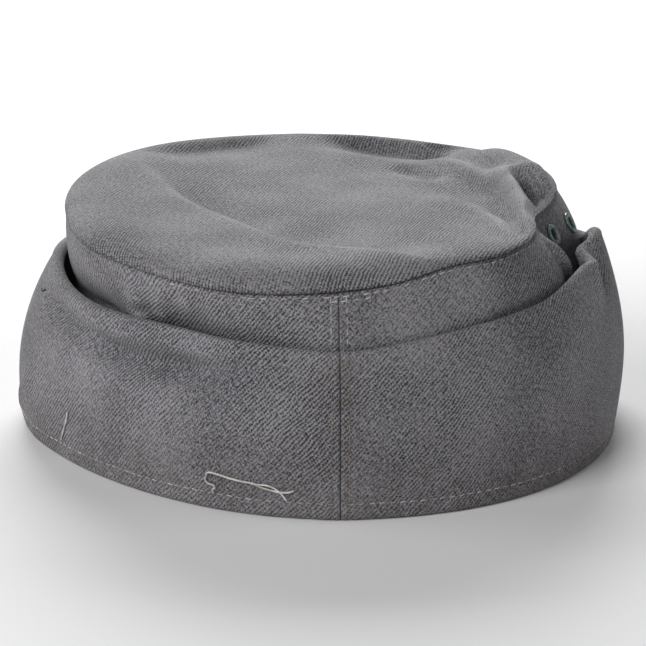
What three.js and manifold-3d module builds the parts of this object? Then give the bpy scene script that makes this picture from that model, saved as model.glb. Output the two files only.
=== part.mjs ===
// Mountain cap of grey wool twill, lying on its rim: a crown with a slack top, an ear and neck flap
// turned up all round it, a peak, two buttons and four vent eyelets. Millimetres, +Z up. The peak points
// towards -Y, the back seam lies towards +Y and the wearer's left is +X.
import * as THREE from "three";
import { mergeVertices } from "three/addons/utils/BufferGeometryUtils.js";
import Module from "manifold-3d";

const wasm = await Module();
wasm.setup();

// Main sizes
const HALF_WIDTH = 92.5; // nominal oval of the rim, side to side
const HALF_LENGTH = 109; // nominal oval of the rim, front to back
const CLOTH = 2; // wall of the crown: wool and its backing
const FLAP_WALL = 3; // wall of the flap: two layers of wool
const GAP = 0.3; // clearance between pieces that are sewn together
const LIP_GAP = 0.7; // clearance of the crown wall behind the flap's lip
const FOOT_ROUND = 1.6; // radius of the fold that the flap stands on
const FLAP_LEAN = 2.4; // how late the flap starts to lean inwards
const LIP_EXTRA = 1.3; // the softly rolled lip at the sides is wider than the wall by this
const WAIST_Z = 46; // height of the narrowest part of the crown wall
const TOP_OVERHANG = 0.8; // the top's edge stands this far outside the wall
const RIM_ROUND = 16; // width of the rounded rim of the top
const FOLD_FADE = 5; // the top's folds fade out over this width at its seam
const MIDDLE_Z = 69.8; // height of the middle of the top
const MM_PER_DEGREE = 1.75; // length round the cap for one degree of bearing

// Peak and the arch that it lifts in the front of the rim
const ARCH_RISE = 12;
const ARCH_HALF_ANGLE = 64;
const PEAK_HALF_ANGLE = 49;
const PEAK_THICKNESS = 2.6;
const PEAK_HALF_WIDTH = 72;
const PEAK_CORNER_Y = -70;
const PEAK_FRONT_Y = -158;
const PEAK_EDGE_Z = 3;
const PEAK_ROOT_WIDTH = 6.5; // flat strip under the walls
const PEAK_GAP = 0.4; // under the walls
const PEAK_REACH = 52;

// Front closure of the flap: the wearer's right end lies over the left one
const OVERLAP_ANGLE = 4;
const OVERLAP_RAMP_FROM = 158;
const OVERLAP_RAMP_TO = 170;

// Mesh steps
const STEP_ANGLE = 5;
const CORNER_STEP_ANGLE = 2.5; // where the crown wall and the top are folded, at the wearer's right
const CORNER_FROM = 50;
const CORNER_TO = 75;
const FRONT_STEP_ANGLE = 7.5;
const FRONT_FROM = 105;
const SEAM_ANGLE = 0.08; // half of the gap in the back seam, as a bearing

// Middle of the cap's own box, which becomes the origin
const BOX_MIDDLE_X = -0.7;
const BOX_MIDDLE_Y = -25.2;

// Cloth sections round the cap. A bearing is counted from the back seam towards the wearer's right.
// Insets are measured inwards from the nominal oval: rim is the flap's outer face at the table, lip the
// same face at the top, waist the crown wall at its narrowest and seam the edge of the top. belly and
// swell are the outward bulges of flap and crown wall, and topZ is the height of the top near its rim.
const SECTION_COLUMNS = ["bearing", "rim", "belly", "lip", "lipZ", "waist", "swell", "seam", "seamZ", "topZ"];
const SECTIONS = [
  [-165, 3.0, 2.0, 6.0, 43.0, 17.0, 2.0, 12.5, 70.0, 73.5],
  [-135, 3.5, 2.0, 8.0, 48.5, 17.0, 2.0, 12.5, 70.5, 74.8],
  [-110, 1.6, 2.2, 10.0, 52.5, 17.0, 2.0, 13.5, 70.0, 74.4],
  [-92, 0.2, 2.4, 10.2, 54.6, 17.0, 1.4, 14.0, 69.0, 73.7],
  [-80, 1.6, 2.2, 8.8, 54.4, 18.0, 2.0, 13.6, 68.5, 73.0],
  [-70, 4.2, 1.5, 8.0, 52.6, 20.0, 3.0, 12.0, 67.5, 72.5],
  [-60, 6.0, 0.5, 8.2, 51.5, 22.0, 3.0, 10.8, 66.5, 72.0],
  [-48, 7.0, 0.4, 10.2, 51.0, 18.5, 2.0, 11.8, 65.2, 71.0],
  [-33, 6.4, 0.4, 10.2, 51.0, 21.0, 2.0, 12.0, 63.6, 69.6],
  [-22, 4.8, 0.5, 7.4, 50.2, 17.0, 2.0, 11.0, 63.0, 69.8],
  [-11, 3.2, 0.5, 5.2, 49.4, 11.5, 1.5, 11.2, 63.2, 70.5],
  [0, 1.7, 0.5, 4.6, 48.2, 8.5, 1.5, 12.0, 64.0, 71.0],
  [11, 1.0, 0.5, 4.4, 49.8, 8.0, 1.5, 13.0, 65.4, 71.5],
  [24, 0.2, 0.8, 5.4, 51.8, 8.5, 1.5, 14.6, 68.3, 71.6],
  [36, -0.2, 1.0, 5.4, 53.0, 9.0, 1.8, 13.0, 69.0, 71.6],
  [46, -0.2, 1.4, 4.8, 54.2, 9.0, 3.0, 15.5, 69.3, 71.8],
  [52, 0.0, 1.7, 4.2, 56.5, 9.5, 4.2, 17.4, 69.8, 72.2],
  [56, 0.0, 2.0, 3.8, 58.3, 9.8, 5.0, 19.5, 69.8, 72.6],
  [60, 0.0, 2.2, 3.6, 59.8, 11.0, 3.2, 21.6, 69.8, 72.8],
  [66, 0.2, 2.6, 4.6, 61.2, 15.5, 0.6, 24.2, 70.4, 71.6],
  [74, 0.8, 3.0, 5.4, 65.2, 13.8, 1.6, 23.2, 70.2, 71.4],
  [80, 1.0, 3.5, 6.2, 63.6, 12.2, 2.6, 21.5, 70.6, 71.8],
  [90, 0.5, 4.2, 7.6, 58.0, 11.0, 3.3, 18.6, 71.4, 74.6],
  [115, 0.8, 3.5, 7.8, 52.4, 12.0, 2.0, 14.5, 71.5, 74.0],
  [140, 2.5, 2.0, 6.5, 48.5, 14.0, 2.0, 13.0, 70.5, 72.0],
  [155, 2.8, 2.0, 6.2, 45.2, 15.0, 2.0, 13.0, 70.0, 72.5],
  [170, 3.0, 2.0, 6.0, 43.0, 16.0, 2.0, 13.0, 69.5, 73.5],
].map((row) => named(SECTION_COLUMNS, row));

// Folds: each runs along a line and has its own width on either side. On the walls the line's ends are
// given by bearing and height, on the top by x and y. A negative height is a valley.
const FOLD_COLUMNS = ["fromU", "fromV", "toU", "toV", "leftWidth", "rightWidth", "height"];
const FLAP_FOLDS = [
  [-76, 45.5, -46, 38.5, 3.5, 4.5, -3.6],
  [-53, 38, -20, 39.5, 4, 4.5, -4.4],
  [-60, 47, -20, 46.5, 4, 3.5, 2.2],
  [63.5, 66, 62, 48, 4, 3, 1.8],
  [69.5, 71, 66.5, 50, 3.6, 4.2, -3.0],
  [-90, 4, -76, 24, 3, 4, 1.0],
].map((row) => named(FOLD_COLUMNS, row));
const BAND_FOLDS = [
  [-46, 44, -44, 60, 5, 5, 3.0],
  [-39, 48, -37, 64, 4, 3, 1.8],
  [-31.5, 54, -31, 64, 3.5, 3.5, 1.6],
  [57.5, 68, 66.5, 46, 4.5, 2.2, 5.2],
].map((row) => named(FOLD_COLUMNS, row));
const TOP_FOLDS = [
  [56, -40, 37, 20, 3.5, 14, 1.6],
  [40, 11, 8, 67, 3.5, 14, 1.6],
  [12, 63, -30, 91, 4, 6, 1.0],
  [45, -12, 8, 60, 18, 4, -2.8],
  [16, 50, -26, 80, 18, 4, -1.8],
  [55, -58, 8, -86, 5, 13, -2.8],
  [-6, -88, -46, -66, 4, 13, -4.8],
  [-45, -82, -41, -58, 5, 5, -3.0],
  [-29, -46, -39, -28, 4, 6, -2.4],
  [-52, -40, -57.5, 66, 4, 14, -3.6],
  [-43, -50, -59, -10, 3, 4, 2.4],
  [-58.5, -14, -62.5, 54, 3.2, 3.2, 4.8],
  [-61, -8, -68, 22, 5.5, 2.6, -5.0],
  [-48, 12, -54, 60, 3, 4, 2.4],
  [-30, 6, -56, 14, 7, 7, 0.9],
  [-57, -56, -71, 2, 8, 7, 4.0],
  [-58, -10, -73, 6, 10, 3.5, 3.4],
].map((row) => named(FOLD_COLUMNS, row));

// Vent eyelets, two on each side of the crown wall
const EYELETS = [
  { name: "eyelet_right_rear", bearing: 73, height: 63 },
  { name: "eyelet_right_front", bearing: 84, height: 63 },
  { name: "eyelet_left_rear", bearing: -100, height: 61.5 },
  { name: "eyelet_left_front", bearing: -113, height: 61.5 },
];
const EYELET_HOLE_RADIUS = 1.9;
const EYELET_BARREL_RADIUS = 2.2;
const EYELET_FLANGE_RADIUS = 3.4;
const EYELET_LIFT = 0.45; // underside of the flange above the cloth
const DRILL_RADIUS = 2.6;
const DRILL_LENGTH = 9;
const ROUND_SIDES = 14;

// Buttons, one above the other on the overlap at the front
const BUTTONS = [
  { name: "button_lower", height: 20.5 },
  { name: "button_upper", height: 34 },
];
const BUTTON_RADIUS = 6;
const BUTTON_HOLE_RADIUS = 0.9;
const BUTTON_HOLE_OFFSET = 1.6;
const BUTTON_LIFT = 0.45;

// Finishes
const TWILL = new THREE.MeshStandardMaterial({ color: 0x68676a, roughness: 0.92, metalness: 0 });
const EYELET_PAINT = new THREE.MeshStandardMaterial({ color: 0x66716f, roughness: 0.5, metalness: 0.3 });
const BUTTON_FINISH = new THREE.MeshStandardMaterial({ color: 0x5c605c, roughness: 0.5, metalness: 0.1 });

function named(columns, row) {
  return Object.fromEntries(columns.map((name, index) => [name, row[index]]));
}

function clamp01(value) {
  return Math.min(Math.max(value, 0), 1);
}

function smooth(value) {
  const t = clamp01(value);
  return t * t * (3 - 2 * t);
}

function mix(a, b, t) {
  return a + (b - a) * t;
}

// Value of a section column at any bearing: a cubic between two rows, whose slopes come from their
// neighbours, closed round the cap.
function around(column, bearing) {
  const count = SECTIONS.length;
  const first = SECTIONS[0].bearing;
  const turned = first + ((((bearing - first) % 360) + 360) % 360);
  let index = count - 1;
  while (SECTIONS[index].bearing > turned) index -= 1;
  const rowAt = (offset) => {
    const place = index + offset;
    const wrapped = ((place % count) + count) % count;
    const turn = Math.floor(place / count) * 360;
    return { at: SECTIONS[wrapped].bearing + turn, value: SECTIONS[wrapped][column] };
  };
  const [before, low, high, after] = [-1, 0, 1, 2].map(rowAt);
  const span = high.at - low.at;
  const t = (turned - low.at) / span;
  const slopeLow = ((high.value - before.value) / (high.at - before.at)) * span;
  const slopeHigh = ((after.value - low.value) / (after.at - low.at)) * span;
  const rise = t * t * (3 - 2 * t);
  const bend = t * (1 - t) * (slopeLow * (1 - t) - slopeHigh * t);
  return mix(low.value, high.value, rise) + bend;
}

// Point of the plan at a bearing and an inset from the nominal oval
function plan(bearing, inset, z) {
  const angle = THREE.MathUtils.degToRad(bearing);
  const oval = new THREE.Vector2(-HALF_WIDTH * Math.sin(angle), HALF_LENGTH * Math.cos(angle));
  oval.setLength(oval.length() - inset);
  return new THREE.Vector3(oval.x, oval.y, z);
}

// Bearing of a point of the plan
function bearingOf(point) {
  return THREE.MathUtils.radToDeg(Math.atan2(-point.x / HALF_WIDTH, point.y / HALF_LENGTH));
}

// Sum of folds at a place: height times a bell across the line, fading out towards its two ends
function foldHeight(folds, u, v) {
  let sum = 0;
  for (const fold of folds) {
    const along = new THREE.Vector2(fold.toU - fold.fromU, fold.toV - fold.fromV);
    const place = new THREE.Vector2(u - fold.fromU, v - fold.fromV);
    const across = along.cross(place) / along.length();
    const t = place.dot(along) / along.lengthSq();
    const width = across > 0 ? fold.leftWidth : fold.rightWidth;
    sum += fold.height * Math.exp(-((across / width) ** 2) - 1.2 * (2 * t - 1) ** 4);
  }
  return sum;
}

// The same on a wall, whose folds are given by bearing and height
function wallFoldHeight(folds, bearing, z) {
  const scaled = folds.map((fold) => ({
    ...fold,
    fromU: fold.fromU * MM_PER_DEGREE,
    toU: fold.toU * MM_PER_DEGREE,
  }));
  return foldHeight(scaled, bearing * MM_PER_DEGREE, z);
}

// Height of the rim above the table: nothing, except for the arch over the peak
function footZ(bearing) {
  const fromFront = Math.abs((((bearing % 360) + 360) % 360) - 180);
  const q = Math.min(fromFront / ARCH_HALF_ANGLE, 1);
  return ARCH_RISE * (1 - q ** 4) ** 2;
}

// Inset of the flap's outer face: from rim to lip it leans in late, with its belly and folds
function flapInset(bearing, z) {
  const v = clamp01(z / (around("lipZ", bearing) - FLAP_WALL / 2));
  const lean = v ** FLAP_LEAN;
  const straight = mix(around("rim", bearing), around("lip", bearing), lean);
  const folds = wallFoldHeight(FLAP_FOLDS, bearing, z) * clamp01(z / 6);
  return straight - around("belly", bearing) * 4 * v * (1 - v) - folds;
}

// Width of the rolled lip: the wall's at the back and at the front, wider where it is folded softly
function lipWidth(bearing) {
  const away = Math.abs(bearing);
  return FLAP_WALL + LIP_EXTRA * smooth((away - 28) / 20) * smooth((OVERLAP_RAMP_FROM - away) / 12);
}

// Inset of the crown wall's outer face: rim to waist to seam, kept clear of the flap in front of it
function bandInset(bearing, z) {
  const top = around("seamZ", bearing) - GAP;
  const foot = around("rim", bearing) + FLAP_WALL + GAP;
  const waist = around("waist", bearing);
  const seam = around("seam", bearing) + TOP_OVERHANG;
  const above = clamp01((z - WAIST_Z) / (top - WAIST_Z));
  const low = mix(foot, waist, smooth(z / WAIST_Z));
  const high = mix(waist, seam, above) - around("swell", bearing) * 4 * above * (1 - above);
  const nearSeam = clamp01((top - z) / (0.06 * top));
  const free = (z < WAIST_Z ? low : high) - nearSeam * wallFoldHeight(BAND_FOLDS, bearing, z);
  const behindFlap = Math.max(free, flapInset(bearing, z) + lipWidth(bearing) + LIP_GAP);
  return mix(behindFlap, free, smooth((z - around("lipZ", bearing) + 0.5) / 5));
}

// Point of the top at a bearing and a share of the way out to its seam, lowered by depth for the
// inside. The rim falls to the seam as a quarter of an ellipse.
function topPoint(bearing, share, depth) {
  const edge = plan(bearing, around("seam", bearing), 0);
  edge.setLength(edge.length() - depth);
  const place = edge.clone().multiplyScalar(share);
  const fromSeam = (1 - share) * edge.length();
  const e = clamp01(1 - fromSeam / RIM_ROUND);
  const rounding = Math.sqrt(1 - e * e);
  const folds = foldHeight(TOP_FOLDS, place.x, place.y) * smooth(fromSeam / FOLD_FADE);
  const seamZ = around("seamZ", bearing);
  const flat = mix(MIDDLE_Z, around("topZ", bearing), smooth(share ** 2)) + folds - depth;
  return place.setZ(mix(seamZ, flat, rounding));
}

// Closed mesh from a list of points and quads or triangles, turned so that its faces point outwards
function closedGeometry(points, faces) {
  const triangles = faces.flatMap((f) => (f.length === 4 ? [f[0], f[1], f[2], f[0], f[2], f[3]] : f));
  const positions = points.flatMap((p) => [p.x, p.y, p.z]);
  const geometry = new THREE.BufferGeometry();
  geometry.setAttribute("position", new THREE.Float32BufferAttribute(positions, 3));
  geometry.setIndex(triangles);
  return facingOut(geometry);
}

// Turns every triangle round if the mesh holds a negative volume
function facingOut(geometry) {
  const position = geometry.getAttribute("position");
  const index = Array.from(geometry.getIndex().array);
  const corner = (i) => new THREE.Vector3().fromBufferAttribute(position, index[i]);
  let volume = 0;
  for (let i = 0; i < index.length; i += 3) {
    volume += corner(i).dot(corner(i + 1).cross(corner(i + 2)));
  }
  if (volume < 0) {
    index.reverse();
    geometry.setIndex(index);
  }
  return geometry;
}

// Wall between two faces: face(i, j, side) gives the point of column i, row j on side 0 (outer) or 1
// (inner). Columns run along the wall and rows up it, and all four edges are closed.
function wallGeometry(columns, rows, face) {
  const points = [];
  for (let side = 0; side < 2; side += 1) {
    for (let i = 0; i < columns; i += 1) {
      for (let j = 0; j < rows; j += 1) points.push(face(i, j, side));
    }
  }
  const at = (i, j, side) => side * columns * rows + i * rows + j;
  const faces = [];
  for (let i = 0; i + 1 < columns; i += 1) {
    for (let j = 0; j + 1 < rows; j += 1) {
      faces.push([at(i, j, 0), at(i + 1, j, 0), at(i + 1, j + 1, 0), at(i, j + 1, 0)]);
      faces.push([at(i, j, 1), at(i, j + 1, 1), at(i + 1, j + 1, 1), at(i + 1, j, 1)]);
    }
    const top = rows - 1;
    faces.push([at(i, 0, 1), at(i + 1, 0, 1), at(i + 1, 0, 0), at(i, 0, 0)]);
    faces.push([at(i, top, 0), at(i + 1, top, 0), at(i + 1, top, 1), at(i, top, 1)]);
  }
  const last = columns - 1;
  for (let j = 0; j + 1 < rows; j += 1) {
    faces.push([at(0, j, 0), at(0, j + 1, 0), at(0, j + 1, 1), at(0, j, 1)]);
    faces.push([at(last, j, 1), at(last, j + 1, 1), at(last, j + 1, 0), at(last, j, 0)]);
  }
  return closedGeometry(points, faces);
}

// Bearings of the columns from one bearing to another on one side of the cap: close together at the
// folded corner, further apart towards the front
function bearings(side, from, end) {
  const list = [from * side];
  let bearing = STEP_ANGLE;
  while (bearing < end - 1) {
    list.push(bearing * side);
    const corner = side > 0 && bearing >= CORNER_FROM && bearing < CORNER_TO;
    const front = bearing >= FRONT_FROM;
    bearing += corner ? CORNER_STEP_ANGLE : front ? FRONT_STEP_ANGLE : STEP_ANGLE;
  }
  list.push(end * side);
  return list;
}

// Crown wall, one half
const BAND_ROWS = [0, 0.15, 0.32, 0.48, 0.6, 0.68, 0.73, 0.77, 0.81, 0.85, 0.89, 0.94, 1];
function bandGeometry(side) {
  const columns = bearings(side, SEAM_ANGLE, 180 - SEAM_ANGLE);
  return wallGeometry(columns.length, BAND_ROWS.length, (i, j, inner) => {
    const z = mix(footZ(columns[i]), around("seamZ", columns[i]) - GAP, BAND_ROWS[j]);
    return plan(columns[i], bandInset(columns[i], z) + inner * CLOTH, z);
  });
}

// Flap, one half: both faces rise to the lip, which is rolled in a half circle. The foot of the outer
// face curls under. The wearer's right half is lifted over the left one at the front.
const FLAP_ROWS = [0, 0.035, 0.14, 0.3, 0.46, 0.6, 0.7, 0.8, 0.9, 1];
const LIP_ANGLES = [30, 60];
function flapGeometry(side) {
  const columns = bearings(side, SEAM_ANGLE, 180 + OVERLAP_ANGLE);
  const rowCount = FLAP_ROWS.length + LIP_ANGLES.length;
  return wallGeometry(columns.length, rowCount, (i, j, inner) => {
    const bearing = columns[i];
    const ramp = (bearing - OVERLAP_RAMP_FROM) / (OVERLAP_RAMP_TO - OVERLAP_RAMP_FROM);
    const lift = side > 0 ? (FLAP_WALL + GAP) * smooth(ramp) : 0;
    const foot = footZ(bearing);
    const half = lipWidth(bearing) / 2;
    const lipBase = around("lipZ", bearing) - half;
    if (j >= FLAP_ROWS.length) {
      const angle = THREE.MathUtils.degToRad(LIP_ANGLES[j - FLAP_ROWS.length]);
      const across = half * (inner ? 1 + Math.cos(angle) : 1 - Math.cos(angle));
      const inset = flapInset(bearing, lipBase) + across - lift;
      return plan(bearing, inset, lipBase + half * Math.sin(angle));
    }
    const z = mix(foot, lipBase, FLAP_ROWS[j]);
    const k = clamp01(1 - (z - foot) / FOOT_ROUND);
    const curl = FOOT_ROUND * (1 - Math.sqrt(1 - k * k));
    const width = mix(FLAP_WALL, 2 * half, smooth((z - lipBase + 9) / 9));
    return plan(bearing, flapInset(bearing, z) + (inner ? width : curl) - lift, z);
  });
}

// Top of the crown: an upper and a lower skin, joined by a flat edge at the seam
const TOP_SHARES = [0.14, 0.28, 0.42, 0.55, 0.67, 0.77, 0.85, 0.91, 0.955, 0.985, 1];
const UNDERSIDE_SHARES = [0.25, 0.5, 0.7, 0.85, 0.95, 1];
function topGeometry() {
  const turns = [...bearings(1, 0, 180), ...bearings(-1, 0, 180).slice(1, -1).reverse()];
  const points = [];
  const faces = [];
  const skin = (shares, depth) => {
    const centre = points.push(topPoint(0, 0, depth)) - 1;
    for (const share of shares) {
      for (const bearing of turns) points.push(topPoint(bearing, share, depth));
    }
    const at = (ring, i) => centre + 1 + ring * turns.length + (i % turns.length);
    const facing = (face) => (depth > 0 ? face.reverse() : face);
    for (let i = 0; i < turns.length; i += 1) {
      faces.push(facing([centre, at(0, i), at(0, i + 1)]));
      for (let ring = 0; ring + 1 < shares.length; ring += 1) {
        faces.push(facing([at(ring, i), at(ring + 1, i), at(ring + 1, i + 1), at(ring, i + 1)]));
      }
    }
    return (i) => at(shares.length - 1, i);
  };
  const upper = skin(TOP_SHARES, 0);
  const lower = skin(UNDERSIDE_SHARES, CLOTH);
  for (let i = 0; i < turns.length; i += 1) faces.push([upper(i), lower(i), lower(i + 1), upper(i + 1)]);
  return closedGeometry(points, faces);
}

// Peak: a stiff crescent under the front arch. Its outline is half an ellipse, its root follows the
// inside of the crown wall, and it falls from the root to its front edge.
const PEAK_SHARES = [0, 0.13, 0.35, 0.6, 0.82, 0.96, 1];
const PEAK_COLUMNS = 23;
const PEAK_EDGE_ROUND = 0.8;
function peakGeometry() {
  return wallGeometry(PEAK_COLUMNS, PEAK_SHARES.length, (i, j, under) => {
    const t = (2 * i) / (PEAK_COLUMNS - 1) - 1;
    const bearing = 180 + t * PEAK_HALF_ANGLE;
    const rootInset = around("rim", bearing) + FLAP_WALL + GAP + CLOTH;
    const root = plan(bearing, rootInset, 0);
    const sweep = (t * Math.PI) / 2;
    const front = (PEAK_CORNER_Y - PEAK_FRONT_Y) * Math.cos(sweep);
    const edge = new THREE.Vector3(PEAK_HALF_WIDTH * Math.sin(sweep), PEAK_CORNER_Y - front, 0);
    const out = root.distanceTo(edge) * PEAK_SHARES[j];
    const fall = clamp01((out - PEAK_ROOT_WIDTH) / (PEAK_REACH - PEAK_ROOT_WIDTH)) ** 1.3;
    const point = root.lerp(edge, PEAK_SHARES[j]);
    const topZ = mix(footZ(bearingOf(point)) - PEAK_GAP, PEAK_EDGE_Z, fall);
    const rounded = j === PEAK_SHARES.length - 1 ? PEAK_EDGE_ROUND : 0;
    return point.setZ(under ? topZ - PEAK_THICKNESS + rounded : topZ - rounded);
  });
}

// Place and outward direction on the crown wall or on the flap's overlap
function seatOn(insetAt, bearing, height) {
  const step = 0.5;
  const point = (b, z) => plan(b, insetAt(b, z), z);
  const place = point(bearing, height);
  const sideways = point(bearing + step, height).sub(point(bearing - step, height));
  const upwards = point(bearing, height + step).sub(point(bearing, height - step));
  const outward = upwards.cross(sideways).normalize();
  if (outward.dot(place) < 0) outward.negate();
  return { place, outward };
}

// Solid of revolution about +Z from its closed outline of [radius, height] pairs
function turned(outline, sides) {
  const points = outline.map(([radius, height]) => new THREE.Vector2(radius, height));
  const lathe = new THREE.LatheGeometry(points, sides).rotateX(Math.PI / 2);
  lathe.deleteAttribute("normal");
  lathe.deleteAttribute("uv");
  return facingOut(mergeVertices(lathe, 1e-4));
}

// Cuts round holes through a body: each drill is a cylinder about a place, along its direction
function drilled(geometry, drills, radius, length, sides) {
  let body = solidOf(geometry);
  for (const drill of drills) {
    const tool = new THREE.CylinderGeometry(radius, radius, length, sides).rotateX(Math.PI / 2);
    tool.deleteAttribute("normal");
    tool.deleteAttribute("uv");
    tool.applyQuaternion(pointing(drill.outward));
    tool.translate(drill.place.x, drill.place.y, drill.place.z);
    body = body.subtract(solidOf(mergeVertices(tool, 1e-4)));
  }
  const mesh = body.getMesh();
  const cut = new THREE.BufferGeometry();
  cut.setAttribute("position", new THREE.Float32BufferAttribute(mesh.vertProperties, 3));
  cut.setIndex(Array.from(mesh.triVerts));
  return cut;
}

function solidOf(geometry) {
  const vertProperties = new Float32Array(geometry.getAttribute("position").array);
  const triVerts = new Uint32Array(geometry.getIndex().array);
  return new wasm.Manifold(new wasm.Mesh({ numProp: 3, vertProperties, triVerts }));
}

function pointing(direction) {
  return new THREE.Quaternion().setFromUnitVectors(new THREE.Vector3(0, 0, 1), direction);
}

// Eyelet: a barrel through the cloth with a domed flange outside
const EYELET_OUTLINE = [
  [EYELET_HOLE_RADIUS, -2.6],
  [EYELET_BARREL_RADIUS, -2.6],
  [EYELET_BARREL_RADIUS, EYELET_LIFT],
  [EYELET_FLANGE_RADIUS, EYELET_LIFT],
  [2.7, EYELET_LIFT + 0.8],
  [EYELET_HOLE_RADIUS, EYELET_LIFT + 0.3],
  [EYELET_HOLE_RADIUS, -2.6],
];

// Button: a dished disc with a raised rim
const BUTTON_OUTLINE = [
  [0, BUTTON_LIFT],
  [BUTTON_RADIUS - 0.6, BUTTON_LIFT],
  [BUTTON_RADIUS, BUTTON_LIFT + 1],
  [BUTTON_RADIUS - 0.8, BUTTON_LIFT + 2.2],
  [BUTTON_RADIUS - 2.2, BUTTON_LIFT + 1.3],
  [0, BUTTON_LIFT + 1.3],
];

function buttonGeometry() {
  const drills = [45, 135, 225, 315].map((degrees) => {
    const angle = THREE.MathUtils.degToRad(degrees);
    const place = new THREE.Vector3(Math.cos(angle), Math.sin(angle), 0).multiplyScalar(BUTTON_HOLE_OFFSET);
    return { place, outward: new THREE.Vector3(0, 0, 1) };
  });
  return drilled(turned(BUTTON_OUTLINE, ROUND_SIDES), drills, BUTTON_HOLE_RADIUS, DRILL_LENGTH, 6);
}

// Assembly
const cap = new THREE.Group();
cap.position.set(-BOX_MIDDLE_X, -BOX_MIDDLE_Y, 0);

function add(name, geometry, material) {
  const mesh = new THREE.Mesh(geometry, material);
  mesh.name = name;
  cap.add(mesh);
  return mesh;
}

const eyeletSeats = EYELETS.map((eyelet) => seatOn(bandInset, eyelet.bearing, eyelet.height));
for (const [name, side] of [["left", -1], ["right", 1]]) {
  const drills = eyeletSeats.filter((seat, index) => EYELETS[index].bearing * side > 0);
  const band = drilled(bandGeometry(side), drills, DRILL_RADIUS, DRILL_LENGTH, ROUND_SIDES);
  add(`band_${name}`, band, TWILL);
  add(`flap_${name}`, flapGeometry(side), TWILL);
}
add("crown_top", topGeometry(), TWILL);
add("peak", peakGeometry(), TWILL);
EYELETS.forEach((eyelet, index) => {
  const mesh = add(eyelet.name, turned(EYELET_OUTLINE, ROUND_SIDES), EYELET_PAINT);
  mesh.position.copy(eyeletSeats[index].place);
  mesh.quaternion.copy(pointing(eyeletSeats[index].outward));
});
for (const button of BUTTONS) {
  const overlapInset = (bearing, z) => flapInset(bearing, z) - FLAP_WALL - GAP;
  const seat = seatOn(overlapInset, 180, button.height);
  const mesh = add(button.name, buttonGeometry(), BUTTON_FINISH);
  mesh.position.copy(seat.place);
  mesh.quaternion.copy(pointing(seat.outward));
}

export default cap;
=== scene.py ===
# Mountain cap of grey wool twill, lying on its rim and seen from behind: a crown with a slack top, an
# ear and neck flap turned up all round it, a peak, two buttons and four vent eyelets.
import math

import bmesh
import bpy
import numpy as np
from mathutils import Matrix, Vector


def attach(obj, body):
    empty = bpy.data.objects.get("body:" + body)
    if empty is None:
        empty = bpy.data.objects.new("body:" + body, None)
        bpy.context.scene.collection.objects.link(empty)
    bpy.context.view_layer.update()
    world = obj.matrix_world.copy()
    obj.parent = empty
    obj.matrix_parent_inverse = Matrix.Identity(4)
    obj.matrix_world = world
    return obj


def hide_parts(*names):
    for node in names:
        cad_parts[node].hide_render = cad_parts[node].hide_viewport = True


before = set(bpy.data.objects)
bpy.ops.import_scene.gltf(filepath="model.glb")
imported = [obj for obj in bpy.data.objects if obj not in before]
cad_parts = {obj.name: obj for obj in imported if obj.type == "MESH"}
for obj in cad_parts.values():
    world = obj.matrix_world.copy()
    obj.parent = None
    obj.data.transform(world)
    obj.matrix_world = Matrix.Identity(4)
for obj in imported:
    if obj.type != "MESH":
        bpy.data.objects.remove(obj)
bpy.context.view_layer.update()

MM = 0.001

# Main sizes in millimetres, as in the part's source
HALF_WIDTH = 92.5  # nominal oval of the rim, side to side
HALF_LENGTH = 109.0  # nominal oval of the rim, front to back
CLOTH = 2.0  # wall of the crown
FLAP_WALL = 3.0  # wall of the flap, two layers of wool
GAP = 0.3  # between pieces that are sewn together
LIP_GAP = 0.7  # between the crown wall and the flap's lip
FOOT_ROUND = 1.6  # radius of the fold that the flap stands on
FLAP_LEAN = 2.4  # how late the flap starts to lean inwards
LIP_EXTRA = 1.3  # the rolled lip at the sides is wider than the wall by this
WAIST_Z = 46.0  # height of the narrowest part of the crown wall
TOP_OVERHANG = 0.8  # the top's edge stands this far outside the wall
RIM_ROUND = 16.0  # width of the rounded rim of the top
FOLD_FADE = 5.0  # the top's folds fade out over this width at its seam
MIDDLE_Z = 69.8  # height of the middle of the top
MM_PER_DEGREE = 1.75  # length round the cap for one degree of bearing
BOX_MIDDLE = np.array([-0.7, -25.2, 0.0])  # of the cap's box on the table, from the oval's middle

# Peak and the arch that it lifts in the front of the rim
ARCH_RISE = 12.0
ARCH_HALF_ANGLE = 64.0
PEAK_HALF_ANGLE = 49.0
PEAK_THICKNESS = 2.6
PEAK_HALF_WIDTH = 72.0
PEAK_CORNER_Y = -70.0
PEAK_FRONT_Y = -158.0
PEAK_EDGE_Z = 3.0
PEAK_ROOT_WIDTH = 6.5  # flat strip under the walls
PEAK_GAP = 0.4  # under the walls
PEAK_REACH = 52.0  # from the root to where the peak has come down to its edge's height

# Front closure: the wearer's right end of the flap lies over the left one
OVERLAP_ANGLE = 4.0
OVERLAP_RAMP_FROM = 158.0
OVERLAP_RAMP_TO = 170.0

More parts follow.
